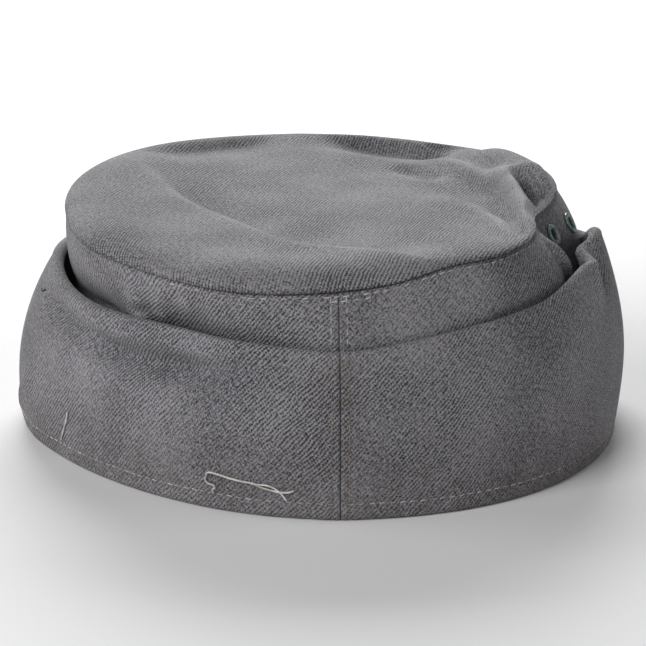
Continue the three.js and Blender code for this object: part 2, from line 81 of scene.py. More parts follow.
# Cloth sections round the cap, in the same columns as in the part's source. A bearing is counted from
# the back seam towards the wearer's right, and an inset inwards from the nominal oval.
SECTION_COLUMNS = ["bearing", "rim", "belly", "lip", "lip_z", "waist", "swell", "seam", "seam_z", "top_z"]
SECTIONS = np.array([
    [-165, 3.0, 2.0, 6.0, 43.0, 17.0, 2.0, 12.5, 70.0, 73.5],
    [-135, 3.5, 2.0, 8.0, 48.5, 17.0, 2.0, 12.5, 70.5, 74.8],
    [-110, 1.6, 2.2, 10.0, 52.5, 17.0, 2.0, 13.5, 70.0, 74.4],
    [-92, 0.2, 2.4, 10.2, 54.6, 17.0, 1.4, 14.0, 69.0, 73.7],
    [-80, 1.6, 2.2, 8.8, 54.4, 18.0, 2.0, 13.6, 68.5, 73.0],
    [-70, 4.2, 1.5, 8.0, 52.6, 20.0, 3.0, 12.0, 67.5, 72.5],
    [-60, 6.0, 0.5, 8.2, 51.5, 22.0, 3.0, 10.8, 66.5, 72.0],
    [-48, 7.0, 0.4, 10.2, 51.0, 18.5, 2.0, 11.8, 65.2, 71.0],
    [-33, 6.4, 0.4, 10.2, 51.0, 21.0, 2.0, 12.0, 63.6, 69.6],
    [-22, 4.8, 0.5, 7.4, 50.2, 17.0, 2.0, 11.0, 63.0, 69.8],
    [-11, 3.2, 0.5, 5.2, 49.4, 11.5, 1.5, 11.2, 63.2, 70.5],
    [0, 1.7, 0.5, 4.6, 48.2, 8.5, 1.5, 12.0, 64.0, 71.0],
    [11, 1.0, 0.5, 4.4, 49.8, 8.0, 1.5, 13.0, 65.4, 71.5],
    [24, 0.2, 0.8, 5.4, 51.8, 8.5, 1.5, 14.6, 68.3, 71.6],
    [36, -0.2, 1.0, 5.4, 53.0, 9.0, 1.8, 13.0, 69.0, 71.6],
    [46, -0.2, 1.4, 4.8, 54.2, 9.0, 3.0, 15.5, 69.3, 71.8],
    [52, 0.0, 1.7, 4.2, 56.5, 9.5, 4.2, 17.4, 69.8, 72.2],
    [56, 0.0, 2.0, 3.8, 58.3, 9.8, 5.0, 19.5, 69.8, 72.6],
    [60, 0.0, 2.2, 3.6, 59.8, 11.0, 3.2, 21.6, 69.8, 72.8],
    [66, 0.2, 2.6, 4.6, 61.2, 15.5, 0.6, 24.2, 70.4, 71.6],
    [74, 0.8, 3.0, 5.4, 65.2, 13.8, 1.6, 23.2, 70.2, 71.4],
    [80, 1.0, 3.5, 6.2, 63.6, 12.2, 2.6, 21.5, 70.6, 71.8],
    [90, 0.5, 4.2, 7.6, 58.0, 11.0, 3.3, 18.6, 71.4, 74.6],
    [115, 0.8, 3.5, 7.8, 52.4, 12.0, 2.0, 14.5, 71.5, 74.0],
    [140, 2.5, 2.0, 6.5, 48.5, 14.0, 2.0, 13.0, 70.5, 72.0],
    [155, 2.8, 2.0, 6.2, 45.2, 15.0, 2.0, 13.0, 70.0, 72.5],
    [170, 3.0, 2.0, 6.0, 43.0, 16.0, 2.0, 13.0, 69.5, 73.5],
], float)

# Folds in columns from_u, from_v, to_u, to_v, left width, right width, height. On the walls the ends
# are given by bearing and height, on the top by x and y. A negative height is a valley.
FLAP_FOLDS = [
    [-76, 45.5, -46, 38.5, 3.5, 4.5, -3.6],
    [-53, 38, -20, 39.5, 4, 4.5, -4.4],
    [-60, 47, -20, 46.5, 4, 3.5, 2.2],
    [63.5, 66, 62, 48, 4, 3, 1.8],
    [69.5, 71, 66.5, 50, 3.6, 4.2, -3.0],
    [-90, 4, -76, 24, 3, 4, 1.0],
]
BAND_FOLDS = [
    [-46, 44, -44, 60, 5, 5, 3.0],
    [-39, 48, -37, 64, 4, 3, 1.8],
    [-31.5, 54, -31, 64, 3.5, 3.5, 1.6],
    [57.5, 68, 66.5, 46, 4.5, 2.2, 5.2],
]
TOP_FOLDS = [
    [56, -40, 37, 20, 3.5, 14, 1.6],
    [40, 11, 8, 67, 3.5, 14, 1.6],
    [12, 63, -30, 91, 4, 6, 1.0],
    [45, -12, 8, 60, 18, 4, -2.8],
    [16, 50, -26, 80, 18, 4, -1.8],
    [55, -58, 8, -86, 5, 13, -2.8],
    [-6, -88, -46, -66, 4, 13, -4.8],
    [-45, -82, -41, -58, 5, 5, -3.0],
    [-29, -46, -39, -28, 4, 6, -2.4],
    [-52, -40, -57.5, 66, 4, 14, -3.6],
    [-43, -50, -59, -10, 3, 4, 2.4],
    [-58.5, -14, -62.5, 54, 3.2, 3.2, 4.8],
    [-61, -8, -68, 22, 5.5, 2.6, -5.0],
    [-48, 12, -54, 60, 3, 4, 2.4],
    [-30, 6, -56, 14, 7, 7, 0.9],
    [-57, -56, -71, 2, 8, 7, 4.0],
    [-58, -10, -73, 6, 10, 3.5, 3.4],
]

# Vent eyelets and buttons
EYELETS = {
    "eyelet_right_rear": (73, 63),
    "eyelet_right_front": (84, 63),
    "eyelet_left_rear": (-100, 61.5),
    "eyelet_left_front": (-113, 61.5),
}
BUTTONS = {"button_lower": 20.5, "button_upper": 34}

# Loose threads: rows of bearing, height and distance off the cloth
LOOSE_THREADS = [
    [[-23.6, 5.2, 0.1], [-23.5, 6.7, 0.9], [-22.9, 7.3, 1.4], [-23.2, 8.0, 1.2], [-24.4, 8.2, 0.8],
     [-25.1, 9.0, 0.6], [-24.9, 10.4, 0.7], [-24.3, 11.5, 0.9], [-22.2, 11.5, 1.3], [-20.2, 10.9, 1.2],
     [-17.8, 10.3, 0.9], [-16.0, 10.0, 0.5], [-14.6, 9.2, 0.4], [-12.9, 8.6, 0.5], [-11.0, 8.2, 0.7],
     [-9.4, 8.2, 0.6], [-8.2, 8.8, 0.5]],
    [[-16.4, 9.9, 0.3], [-14.8, 9.9, 0.8], [-13.2, 10.0, 1.1], [-12.2, 9.6, 1.0], [-11.4, 8.9, 0.8],
     [-10.6, 7.8, 0.6], [-10.2, 7.0, 0.5], [-9.6, 5.8, 0.4]],
    [[-62.4, 16.5, 0.0], [-62.8, 13.4, 0.2], [-64.0, 9.6, 0.1], [-65.2, 6.2, 0.0]],
]

# Dark tube along a small nick in the flap, coloured as its painted shade, in the same columns
NICK_SHADE_PATH = [[-81.3, 46.2, -0.2], [-80.2, 46.0, -0.1], [-79.2, 46.3, 0.0], [-78.3, 47.0, -0.1]]


# Shape of the cloth

FLAP_FOLD_FADE = 6.0  # the flap's folds come in over this height above the table
BAND_FOLD_FADE = 0.06  # the crown wall's folds fade out over this share of its height, at its top
FREE_BELOW_LIP = 0.5  # the crown wall starts to come free of the flap this far below the flap's lip
FREE_OVER = 5.0  # and is free of it this far on


def clamp01(value):
    """A value held between 0 and 1."""
    return np.clip(value, 0, 1)


def smooth(value):
    """3t^2 - 2t^3 of a value held between 0 and 1."""
    t = clamp01(value)
    return t * t * (3 - 2 * t)


def mix(a, b, t):
    """a where t is 0, b where it is 1, and in a straight line between them."""
    return a + (b - a) * t


def arch(share):
    """4t(1 - t): 0 at both ends of a share from 0 to 1, and 1 in its middle."""
    return 4 * share * (1 - share)


def bell(distance, width):
    """e to the minus (distance / width)^2."""
    return np.exp(-(distance / width) ** 2)


def unit(vectors):
    """The same directions at length 1."""
    return vectors / np.linalg.norm(vectors, axis=-1, keepdims=True)


def around(column, bearing):
    """Value of a section column at any bearing: a cubic between two rows whose slopes come from the
    rows on either side of them, closed round the cap."""
    at = SECTIONS[:, 0]
    value = SECTIONS[:, SECTION_COLUMNS.index(column)]
    at = np.concatenate([at[-2:] - 360, at, at[:3] + 360])
    value = np.concatenate([value[-2:], value, value[:3]])
    turned = (np.asarray(bearing, float) - SECTIONS[0, 0]) % 360 + SECTIONS[0, 0]
    low = np.clip(np.searchsorted(at, turned, side="right") - 1, 1, len(at) - 3)
    span = at[low + 1] - at[low]
    t = (turned - at[low]) / span
    slope_low = (value[low + 1] - value[low - 1]) / (at[low + 1] - at[low - 1]) * span
    slope_high = (value[low + 2] - value[low]) / (at[low + 2] - at[low]) * span
    bend = t * (1 - t) * (slope_low * (1 - t) - slope_high * t)
    return mix(value[low], value[low + 1], smooth(t)) + bend


def plan(bearing, inset, z):
    """Points at a bearing, an inset from the nominal oval and a height: the point of the oval at that
    angle, moved in along the line to its middle."""
    angle = np.radians(bearing)
    x, y = -HALF_WIDTH * np.sin(angle), HALF_LENGTH * np.cos(angle)
    share = 1 - inset / np.hypot(x, y)
    return np.stack(np.broadcast_arrays(x * share, y * share, z), -1)


def fold_height(folds, u, v):
    """Sum of folds: each is its height times e to the minus (across / width)^2 and to the minus
    1.2 (2t - 1)^4, where t runs from 0 to 1 along the fold."""
    total = np.zeros(np.broadcast(u, v).shape)
    for from_u, from_v, to_u, to_v, left, right, height in folds:
        du, dv = to_u - from_u, to_v - from_v
        length = math.hypot(du, dv)
        t = ((u - from_u) * du + (v - from_v) * dv) / length ** 2
        across = (du * (v - from_v) - dv * (u - from_u)) / length
        width = np.where(across > 0, left, right)
        total = total + height * np.exp(-(across / width) ** 2 - 1.2 * (2 * t - 1) ** 4)
    return total


def wall_fold_height(folds, bearing, z):
    """The same on a wall, whose folds are given by bearing and height."""
    k = MM_PER_DEGREE
    scaled = [[f[0] * k, f[1], f[2] * k, f[3], f[4], f[5], f[6]] for f in folds]
    return fold_height(scaled, np.asarray(bearing) * k, z)


def foot_z(bearing):
    """Height of the rim above the table: the rise of the arch times (1 - q^4)^2 over the peak."""
    q = np.minimum(np.abs(np.asarray(bearing, float) % 360 - 180) / ARCH_HALF_ANGLE, 1)
    return ARCH_RISE * (1 - q ** 4) ** 2


def flap_inset(bearing, z):
    """Inset of the flap's outer face: rim to lip by a power of the height's share, so that it leans in
    late, less an arch for its belly and its folds."""
    v = clamp01(z / (around("lip_z", bearing) - FLAP_WALL / 2))
    straight = mix(around("rim", bearing), around("lip", bearing), v ** FLAP_LEAN)
    folds = wall_fold_height(FLAP_FOLDS, bearing, z) * clamp01(z / FLAP_FOLD_FADE)
    return straight - around("belly", bearing) * arch(v) - folds


def band_inset(bearing, z):
    """Inset of the crown wall's outer face: smoothly from rim to waist, then straight to the seam less
    an arch for its swell and its folds, and behind the flap never closer to it than their gap."""
    top = around("seam_z", bearing) - GAP
    foot = around("rim", bearing) + FLAP_WALL + GAP
    waist = around("waist", bearing)
    seam = around("seam", bearing) + TOP_OVERHANG
    above = clamp01((z - WAIST_Z) / (top - WAIST_Z))
    low = mix(foot, waist, smooth(z / WAIST_Z))
    high = mix(waist, seam, above) - around("swell", bearing) * arch(above)
    near_seam = clamp01((top - z) / (BAND_FOLD_FADE * top))
    free = np.where(z < WAIST_Z, low, high) - near_seam * wall_fold_height(BAND_FOLDS, bearing, z)
    behind_flap = np.maximum(free, flap_inset(bearing, z) + lip_width(bearing) + LIP_GAP)
    return mix(behind_flap, free, smooth((z - around("lip_z", bearing) + FREE_BELOW_LIP) / FREE_OVER))


def seam_edge(bearing):
    """Plan of the top's seam at a bearing, and its distance from the middle."""
    edge = plan(bearing, around("seam", bearing), 0)
    return edge, np.hypot(edge[..., 0], edge[..., 1])


def top_point(bearing, share, depth):
    """Point of the top at a bearing and a share of the way out to its seam, lowered by depth. The rim
    falls to the seam as a quarter of an ellipse, and the folds fade out towards it."""
    edge, radius = seam_edge(bearing)
    place = edge * ((radius - depth) / radius * share)[..., None]
    from_seam = (1 - share) * (radius - depth)
    rounding = np.sqrt(1 - clamp01(1 - from_seam / RIM_ROUND) ** 2)
    folds = fold_height(TOP_FOLDS, place[..., 0], place[..., 1]) * smooth(from_seam / FOLD_FADE)
    flat = mix(MIDDLE_Z, around("top_z", bearing), smooth(share ** 2)) + folds - depth
    place[..., 2] = mix(around("seam_z", bearing), flat, rounding)
    return place


def tuck(distance, radius):
    """How far an edge turns in at a distance from it: a quarter of a circle."""
    return radius * (1 - np.sqrt(1 - clamp01(1 - distance / radius) ** 2))


def arc_lengths(points, axis):
    """Length along the grid from its first point, for each point."""
    steps = np.linalg.norm(np.diff(points, axis=axis), axis=-1)
    start = np.zeros_like(np.take(steps, [0], axis=axis))
    return np.concatenate([start, np.cumsum(steps, axis=axis)], axis=axis)


# Meshes

COLUMN_STEP = 0.8  # bearing between two columns of a wall
SEAM_NEAR = np.array([0.02, 0.12, 0.25, 0.4, 0.58, 0.8, 1.05, 1.35, 1.7, 2.1])  # bearings beside a seam
# Turns of a rounded edge: up to its last point, after its first point, and between its two ends
FOOT_TURN = np.radians(np.linspace(0, 75, 6))[None]
QUARTER_ROUND = np.radians(np.linspace(15, 90, 6))[None]
HALF_ROUND = np.radians(np.linspace(15, 165, 11))[None]


def grid_quads(columns, rows):
    """Quads of a grid whose point (i, j) has the number i * rows + j."""
    i, j = np.meshgrid(np.arange(columns - 1), np.arange(rows - 1), indexing="ij")
    first = (i * rows + j).reshape(-1)
    return np.stack([first, first + rows, first + rows + 1, first + 1], -1)


def add_object(name, data):
    """A new object in the scene, at the origin."""
    added = bpy.data.objects.new(name, data)
    bpy.context.scene.collection.objects.link(added)
    return added


def mend(mesh):
    """Joins points in the same place and turns the faces out."""
    joined = bmesh.new()
    joined.from_mesh(mesh)
    bmesh.ops.remove_doubles(joined, verts=joined.verts, dist=1e-7)
    bmesh.ops.recalc_face_normals(joined, faces=joined.faces)
    joined.to_mesh(mesh)
    joined.free()
    mesh.update()


def make_piece(name, points, faces, weave, material, replaced=(), wear_and_painted_light=None):
    """One mesh in the frame from points in millimetres, quads, a weave map of one pair of millimetres
    for each point, and how far worn nap and a painted highlight lighten it there, below 0 where shade is
    painted."""
    mesh = bpy.data.meshes.new(name)
    mesh.from_pydata(((points - BOX_MIDDLE) * MM).tolist(), [], faces.tolist())
    if weave is not None:
        layer = mesh.uv_layers.new(name="Weave")
        layer.data.foreach_set("uv", (weave[faces.reshape(-1)] * MM).astype(np.float32).reshape(-1))
    if wear_and_painted_light is not None:
        mesh.attributes.new("WearAndPaintedLight", "FLOAT", "POINT").data.foreach_set("value", wear_and_painted_light.astype(np.float32))
    mesh.polygons.foreach_set("use_smooth", np.ones(len(mesh.polygons), bool))
    mesh.materials.append(material)
    mend(mesh)
    piece = add_object(name, mesh)
    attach(piece, "root")
    if replaced:
        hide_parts(*replaced)
    return piece


def wall_columns(end):
    """Bearings from the back seam to the end, close together at both edges."""
    near = SEAM_NEAR
    far = np.arange(near[-1] + COLUMN_STEP, end - near[-1] - COLUMN_STEP / 2, COLUMN_STEP)
    return np.concatenate([near, far, end - near[::-1]])


def wall_weave(points, right_first):
    """Weave map of a wall from its arc lengths: ribs climb to the right at 45 degrees, so the first
    number, across the ribs, is (right - up) / sqrt 2 and the second, along them, (right + up) / sqrt 2."""
    right = arc_lengths(points, 0) * right_first
    up = arc_lengths(points, 1)
    return np.stack([right - up, right + up], -1) / math.sqrt(2)


def closed_wall(name, outer, inner, material, wear_and_painted_light=0.0):
    """A wall of cloth from its outer face and the rest of its section. Columns run along the wall. Each
    column of points is a loop that comes back to its first point, and both ends are filled. The wear
    and painted light are those of the outer face."""
    loop = np.concatenate([outer, inner, outer[:, :1]], axis=1)
    columns, rows = loop.shape[:2]
    side = -1 if outer[columns // 4, 0, 0] > 0 else 1
    weave = wall_weave(loop, side)
    points = loop.reshape(-1, 3)
    faces = [grid_quads(columns, rows)]
    uv = [weave.reshape(-1, 2)]
    count = len(points)
    half = (rows - 1) // 2
    extra = []
    for column in (0, columns - 1):
        front = loop[column, : half + 1]
        back = loop[column, rows - 1 : rows - 2 - half : -1]
        extra.append(np.stack([front, back], 0).reshape(-1, 3))
        front_uv = weave[column, : half + 1]
        uv.append(np.concatenate([front_uv, front_uv + np.linalg.norm(front - back, axis=1)[:, None]]))
        faces.append(grid_quads(2, half + 1) + count)
        count += 2 * (half + 1)
    # Painted shade and highlight of the outer face only; the rest of the section gets none.
    worn = np.zeros((columns, rows))
    worn[:, : outer.shape[1]] = wear_and_painted_light
    worn = np.concatenate([worn.reshape(-1), np.zeros(count - len(points))])
    return make_piece(name + "_cloth", np.concatenate([points] + extra), np.concatenate(faces),
                      np.concatenate(uv), material, [name], worn)


# Cloth of the walls

MM_PER_DEGREE_AT_SEAM = 1.614
SEAM_TUCK = 0.9  # radius of each half's turned edge at the back seam
ALLOWANCE_RISE = 0.35  # the cloth stands up this far over its turned edge
ALLOWANCE_WIDTH = 6.0
DRAWN_IN = 0.22  # by the stitches beside the back seam
DRAWN_WIDTH = 0.6
STITCH_LINE = 2.5  # stitch rows beside the back seam
HEM_LINE = 5.0  # stitch row above the lower edge of the flap
TOP_LINE = 1.3  # stitch row under the seam of the top
CHANNEL_WIDTH = 0.8  # of a row of stitches that runs round the cap
HEM_CHANNEL = 0.25  # depth of the row above the lower edge
TOP_CHANNEL = 0.2  # depth of the row under the seam of the top
PUCKER_LENGTH = 9.5
PUCKER_DRIFTS = [(1.7, 13.0), (2.3, 31.0)]  # push on the puckers' phase, and its length over 2 pi
PUCKER_SHARE = 0.45  # of the channel's depth
PUCKER_REACH = 4.5
BAND_DROP = 0.05  # the crown wall ends this far below the seam of the top
BAND_EDGE = 0.7  # radius of its rounded top edge
SEWN_FROM, SEWN_TO = 30.0, 40.0  # heights where the crown wall's seams take shape, behind the flap
FOOT_CURL = 0.8  # radius of the flap's inner foot
LIP_SOFT_FROM = 28.0  # bearing where the flap starts to be folded softly
LIP_SOFT_RAMP = 20.0
LIP_FRONT_RAMP = 12.0
LIP_SPREAD = 9.0  # the flap widens to its lip over this height
FLAP_ROWS = 64
BAND_LOW_ROWS, BAND_HIGH_ROWS = 16, 56
VALLEY_PAINTED_SHADE = 0.13  # painted shade in the flap's valleys, for each millimetre of depth
SEAM_PAINTED_SHADE = -1.0  # painted shade in the groove of the top's seam
BAND_SHADE_REACH = 0.6  # reach of that painted shade below the groove


def seam_relief(bearing):
    """Inset beside the back seam: each half turns in at the seam, stands up a little over its turned
    edge and is drawn in along its row of stitches."""
    distance = np.abs(bearing) * MM_PER_DEGREE_AT_SEAM
    allowance = ALLOWANCE_RISE * np.exp(-(distance / ALLOWANCE_WIDTH) ** 4)
    drawn = DRAWN_IN * bell(distance - STITCH_LINE, DRAWN_WIDTH)
    return tuck(distance, SEAM_TUCK) - allowance + drawn


def row_relief(bearing, distance, depth):
    """Inset beside a row of stitches that runs round the cap: a shallow channel, less soft puckers on
    both sides of it. They are a sine along the row, whose phase two slower sines push on and back."""
    along = np.asarray(bearing) * MM_PER_DEGREE
    phase = 2 * np.pi * along / PUCKER_LENGTH
    for drift, length in PUCKER_DRIFTS:
        phase = phase + drift * np.sin(along / length)
    puckers = PUCKER_SHARE * depth * np.sin(phase) * bell(distance, PUCKER_REACH)
    return depth * bell(distance, CHANNEL_WIDTH) - puckers


def flap_face(bearing, z):
    """Inset of the flap's outer face as sewn."""
    from_row = z - foot_z(bearing) - HEM_LINE
    return flap_inset(bearing, z) + seam_relief(bearing) + row_relief(bearing, from_row, HEM_CHANNEL)


def band_top(bearing):
    """Height of the crown wall's top edge."""
    return around("seam_z", bearing) - BAND_DROP


def band_face(bearing, z):
    """Inset of the crown wall's outer face as sewn, turned in at its top edge."""
    top = band_top(bearing)
    sewn = seam_relief(bearing) + row_relief(bearing, top - z - TOP_LINE, TOP_CHANNEL)
    seen = smooth((z - SEWN_FROM) / (SEWN_TO - SEWN_FROM))
    return band_inset(bearing, z) + sewn * seen + tuck(top - z, BAND_EDGE)


def flap_lift(bearing, side):
    """How far the wearer's right half stands out over the left one near the front."""
    ramp = (np.abs(bearing) - OVERLAP_RAMP_FROM) / (OVERLAP_RAMP_TO - OVERLAP_RAMP_FROM)
    return (FLAP_WALL + GAP) * smooth(ramp) if side > 0 else np.zeros_like(bearing)


def lip_width(bearing):
    """Width of the rolled lip: the wall's at the back and at the front, wider where it is folded softly."""
    away = np.abs(bearing)
    soft = smooth((away - LIP_SOFT_FROM) / LIP_SOFT_RAMP)
    return FLAP_WALL + LIP_EXTRA * soft * smooth((OVERLAP_RAMP_FROM - away) / LIP_FRONT_RAMP)


def build_flap(name, side, material):
    """Half of the flap. Its section goes up the outer face from the fold on the table, over the lip in
    half a circle and down the inner face."""
    end = 180 + OVERLAP_ANGLE
    bearing = (side * wall_columns(end))[:, None]
    lift = flap_lift(bearing, side)
    thin = tuck((end - np.abs(bearing)) * MM_PER_DEGREE_AT_SEAM, FLAP_WALL / 2)
    foot = foot_z(bearing)
    half = lip_width(bearing) / 2
    lip_base = around("lip_z", bearing) - half
    z_low = foot + FOOT_ROUND * (1 - np.cos(FOOT_TURN))
    turned_in = FOOT_ROUND * (1 - np.sin(FOOT_TURN))
    low = plan(bearing, flap_face(bearing, foot) + turned_in - lift + thin, z_low)
    z_high = mix(foot + FOOT_ROUND, lip_base, np.linspace(0, 1, FLAP_ROWS)[None])
    high = plan(bearing, flap_face(bearing, z_high) - lift + thin, z_high)
    middle = flap_face(bearing, lip_base) - lift + half
    radius = half - thin
    roll = plan(bearing, middle - radius * np.cos(HALF_ROUND), lip_base + radius * np.sin(HALF_ROUND))
    face_z = np.concatenate([z_low, z_high], 1)
    z = face_z[:, ::-1]
    curl = tuck(z - foot, FOOT_CURL)
    width = mix(FLAP_WALL, 2 * half, smooth((z - lip_base + LIP_SPREAD) / LIP_SPREAD))
    inside = plan(bearing, flap_inset(bearing, z) + width - curl - lift - thin, z)
    # Painted shade: the wool's colour is darkened in the flap's valleys, the more the deeper they are.
    valleys = [fold for fold in FLAP_FOLDS if fold[6] < 0]
    painted_shade = VALLEY_PAINTED_SHADE * wall_fold_height(valleys, bearing, face_z)
    painted_shade = np.pad(painted_shade, ((0, 0), (0, roll.shape[1])))
    closed_wall(name, np.concatenate([low, high, roll], 1), inside, material, painted_shade)


def build_band(name, side, material):
    """Half of the crown wall, with a rounded top edge that is tucked under the top."""
    bearing = (side * wall_columns(180))[:, None]
    top = band_top(bearing)
    low = mix(foot_z(bearing), SEWN_TO, np.linspace(0, 1, BAND_LOW_ROWS)[None, :-1])
    high = mix(SEWN_TO, top - BAND_EDGE, np.linspace(0, 1, BAND_HIGH_ROWS)[None])
    edge = top - BAND_EDGE * (1 - np.sin(QUARTER_ROUND))
    z = np.concatenate([low, high, edge], 1)
    outer = plan(bearing, band_face(bearing, z), z)
    inside = plan(bearing, band_inset(bearing, z) + CLOTH, z)[:, ::-1]
    # Painted shade: the wall's colour is darkened just under the top's seam.
    return closed_wall(name, outer, inside, material, SEAM_PAINTED_SHADE * bell(top - z, BAND_SHADE_REACH))


# Top of the crown

RIB_LEAN = math.radians(69)  # ribs of the top, from the cap's cross line
TOP_EDGE = 0.6  # radius of the top's turned edge
TOP_RISE = 8.0  # rise of the rim for which that edge is made
CREASE_WIDTH = 2.1  # worn nap and painted highlight along the top of a crease
CREASE_HEIGHT = 2.5  # a crease of this height is made fully pale
SHARP_WIDTH = 4  # folds with a wider left side are too soft to get the pale crease
TOP_SHADE_REACH = 0.9  # reach of the painted shade above the groove of the seam
TOP_COLUMNS = 361
TOP_MIDDLE_ROWS, TOP_RIM_ROWS, UNDERSIDE_ROWS = 80, 44, 36
SEAM_ROWS_FROM = 101  # rows of the upper skin from here on lie beside the seam


def top_grid(bearing, from_seam, depth):
    """Points of the top at distances from its seam, lowered by depth. The middle is the whole radius
    from the seam."""
    radius = seam_edge(bearing)[1] - depth
    return top_point(bearing, clamp01(1 - from_seam / radius), depth)


def top_weave(points):
    """Weave map of the top: each point's length from the middle, laid out flat in its own direction
    and turned so that the ribs lean."""
    length = arc_lengths(points, 1)
    heading = unit(points[:, -1:, :2])
    right, away = -length * heading[..., 0], -length * heading[..., 1]
    across = right * math.sin(RIB_LEAN) - away * math.cos(RIB_LEAN)
    along = right * math.cos(RIB_LEAN) + away * math.sin(RIB_LEAN)
    return np.stack([across, along], -1)


def crease_wear_and_highlight(points):
    """How far the top is made pale along its sharp ridges, in proportion to their height: worn nap and a
    painted highlight.
    """
    sharp = [fold for fold in TOP_FOLDS if fold[6] > 0 and fold[4] <= SHARP_WIDTH]
    creases = [[*fold[:4], CREASE_WIDTH, CREASE_WIDTH, fold[6] / CREASE_HEIGHT] for fold in sharp]
    return fold_height(creases, points[:, 0], points[:, 1])


def build_top(name, material):
    """Slack top: an upper skin whose edge is turned in at the seam, and its underside."""
    bearing = np.linspace(-180, 180, TOP_COLUMNS)[:, None]
    seam, seam_z = around("seam", bearing), around("seam_z", bearing)
    radius = seam_edge(bearing)[1]
    rim = math.asin(TOP_EDGE / TOP_RISE)
    inner = mix(radius, RIM_ROUND, np.linspace(0, 1, TOP_MIDDLE_ROWS)[None, :-1])
    outer = RIM_ROUND * (1 - np.cos(mix(np.pi / 2, rim, np.linspace(0, 1, TOP_RIM_ROWS)[None])))
    from_seam = np.concatenate([inner, np.broadcast_to(outer, (TOP_COLUMNS, TOP_RIM_ROWS))], 1)
    skin = top_grid(bearing, from_seam, 0.0)
    height = skin[:, -1:, 2] - seam_z
    inset = seam + RIM_ROUND * (1 - math.cos(rim)) + TOP_EDGE * (1 - np.cos(QUARTER_ROUND))
    lip = plan(bearing, inset, seam_z + height * (1 - np.sin(QUARTER_ROUND)))
    upper = np.concatenate([skin, lip], 1)
    towards_middle = np.linspace(0, 1, UNDERSIDE_ROWS)[None] ** 1.3
    under = top_grid(bearing, mix(0, radius - CLOTH, towards_middle), CLOTH)
    faces = [grid_quads(*upper.shape[:2]), grid_quads(*under.shape[:2]) + upper.size // 3]
    bridge = np.stack([upper[:, -1], under[:, 0]], 1)
    faces.append(grid_quads(*bridge.shape[:2]) + (upper.size + under.size) // 3)
    weave = [top_weave(upper), top_weave(under[:, ::-1])[:, ::-1]]
    weave.append(np.stack([weave[0][:, -1], weave[0][:, -1] + 1], 1))
    points = np.concatenate([part.reshape(-1, 3) for part in (upper, under, bridge)])
    beside_seam = np.arange(upper.shape[1]) >= SEAM_ROWS_FROM
    # Painted shade: the top's colour is darkened beside the groove of its seam.
    painted_shade = SEAM_PAINTED_SHADE * bell(upper[..., 2] - seam_z, TOP_SHADE_REACH) * beside_seam
    # Worn nap and a painted highlight: the top's colour is made paler along its creases.
    worn = crease_wear_and_highlight(points)
    worn[: painted_shade.size] += painted_shade.reshape(-1)
    weave = np.concatenate([part.reshape(-1, 2) for part in weave])
    make_piece(name + "_cloth", points, np.concatenate(faces), weave, material, [name], worn)


# Peak

PEAK_HEM = 5.0  # stitch row behind the edge
PEAK_HEM_CHANNEL = 0.25
PEAK_HEM_WIDTH = 0.9
PEAK_COLUMNS, PEAK_ROWS = 121, 44


def peak_point(t, share):
    """Point of the peak's upper face and how far the peak reaches there. A share t of its width goes
    from -1 to 1, and a share of its depth from its root, inside the crown wall, to its front edge,
    half an ellipse. The face falls from the root to the edge, by the power 1.3 of the way."""
    bearing = 180 + t * PEAK_HALF_ANGLE
    root = plan(bearing, around("rim", bearing) + FLAP_WALL + GAP + CLOTH, 0)
    sweep = t * np.pi / 2
    rim = np.stack([PEAK_HALF_WIDTH * np.sin(sweep),
                    PEAK_CORNER_Y - (PEAK_CORNER_Y - PEAK_FRONT_Y) * np.cos(sweep), 0 * t], -1)
    reach = np.linalg.norm(rim - root, axis=-1)
    point = mix(root, rim, share[..., None])
    angle = np.degrees(np.arctan2(-point[..., 0] / HALF_WIDTH, point[..., 1] / HALF_LENGTH))
    fall = clamp01((reach * share - PEAK_ROOT_WIDTH) / (PEAK_REACH - PEAK_ROOT_WIDTH)) ** 1.3
    point[..., 2] = mix(foot_z(angle) - PEAK_GAP, PEAK_EDGE_Z, fall)
    return point, reach


def build_peak(name, material):
    """Stiff crescent under the front arch, drawn in a little along its row of stitches. Its edge is
    rounded in half a circle."""
    t = np.linspace(-1, 1, PEAK_COLUMNS)[:, None]
    reach = peak_point(t, 0 * t)[1]
    half = PEAK_THICKNESS / 2
    edge_share = half / np.maximum(reach, 2 * half)
    depth = np.linspace(0, 1, PEAK_ROWS)[None] * (1 - edge_share)
    above = peak_point(t, depth)[0]
    above[..., 2] -= PEAK_HEM_CHANNEL * bell(reach * (1 - depth) - PEAK_HEM, PEAK_HEM_WIDTH)
    below = peak_point(t, depth[:, ::-1])[0] - [0, 0, PEAK_THICKNESS]
    nose = peak_point(t, 1 - edge_share + edge_share * np.sin(HALF_ROUND))[0]
    nose[..., 2] -= half * (1 - np.cos(HALF_ROUND))
    closed_wall(name, np.concatenate([above, nose], 1), below, material)


# Camera of the photograph, about 14 degrees above the table and behind the cap

CAMERA_PLACE = (54.9, 994.0, 281.9)
CAMERA_TARGET = (-0.43, 25.2, 30.0)
CAMERA_LENS = 178.9


def aim(thing, place, target):
    """Puts a camera or a lamp in its place, looking at its target."""
    thing.location = place
    thing.rotation_mode = "QUATERNION"
    thing.rotation_quaternion = (target - place).to_track_quat("-Z", "Y")


def build_camera():
    """Long lens on a sensor 36 mm wide."""
    camera = add_object("camera", bpy.data.cameras.new("camera"))
    camera.data.sensor_width = 36
    camera.data.lens = CAMERA_LENS
    camera.data.clip_start, camera.data.clip_end = 0.05, 50
    aim(camera, Vector(CAMERA_PLACE) * MM, Vector(CAMERA_TARGET) * MM)
    bpy.context.scene.camera = camera


# Small hardware: eyelets and buttons

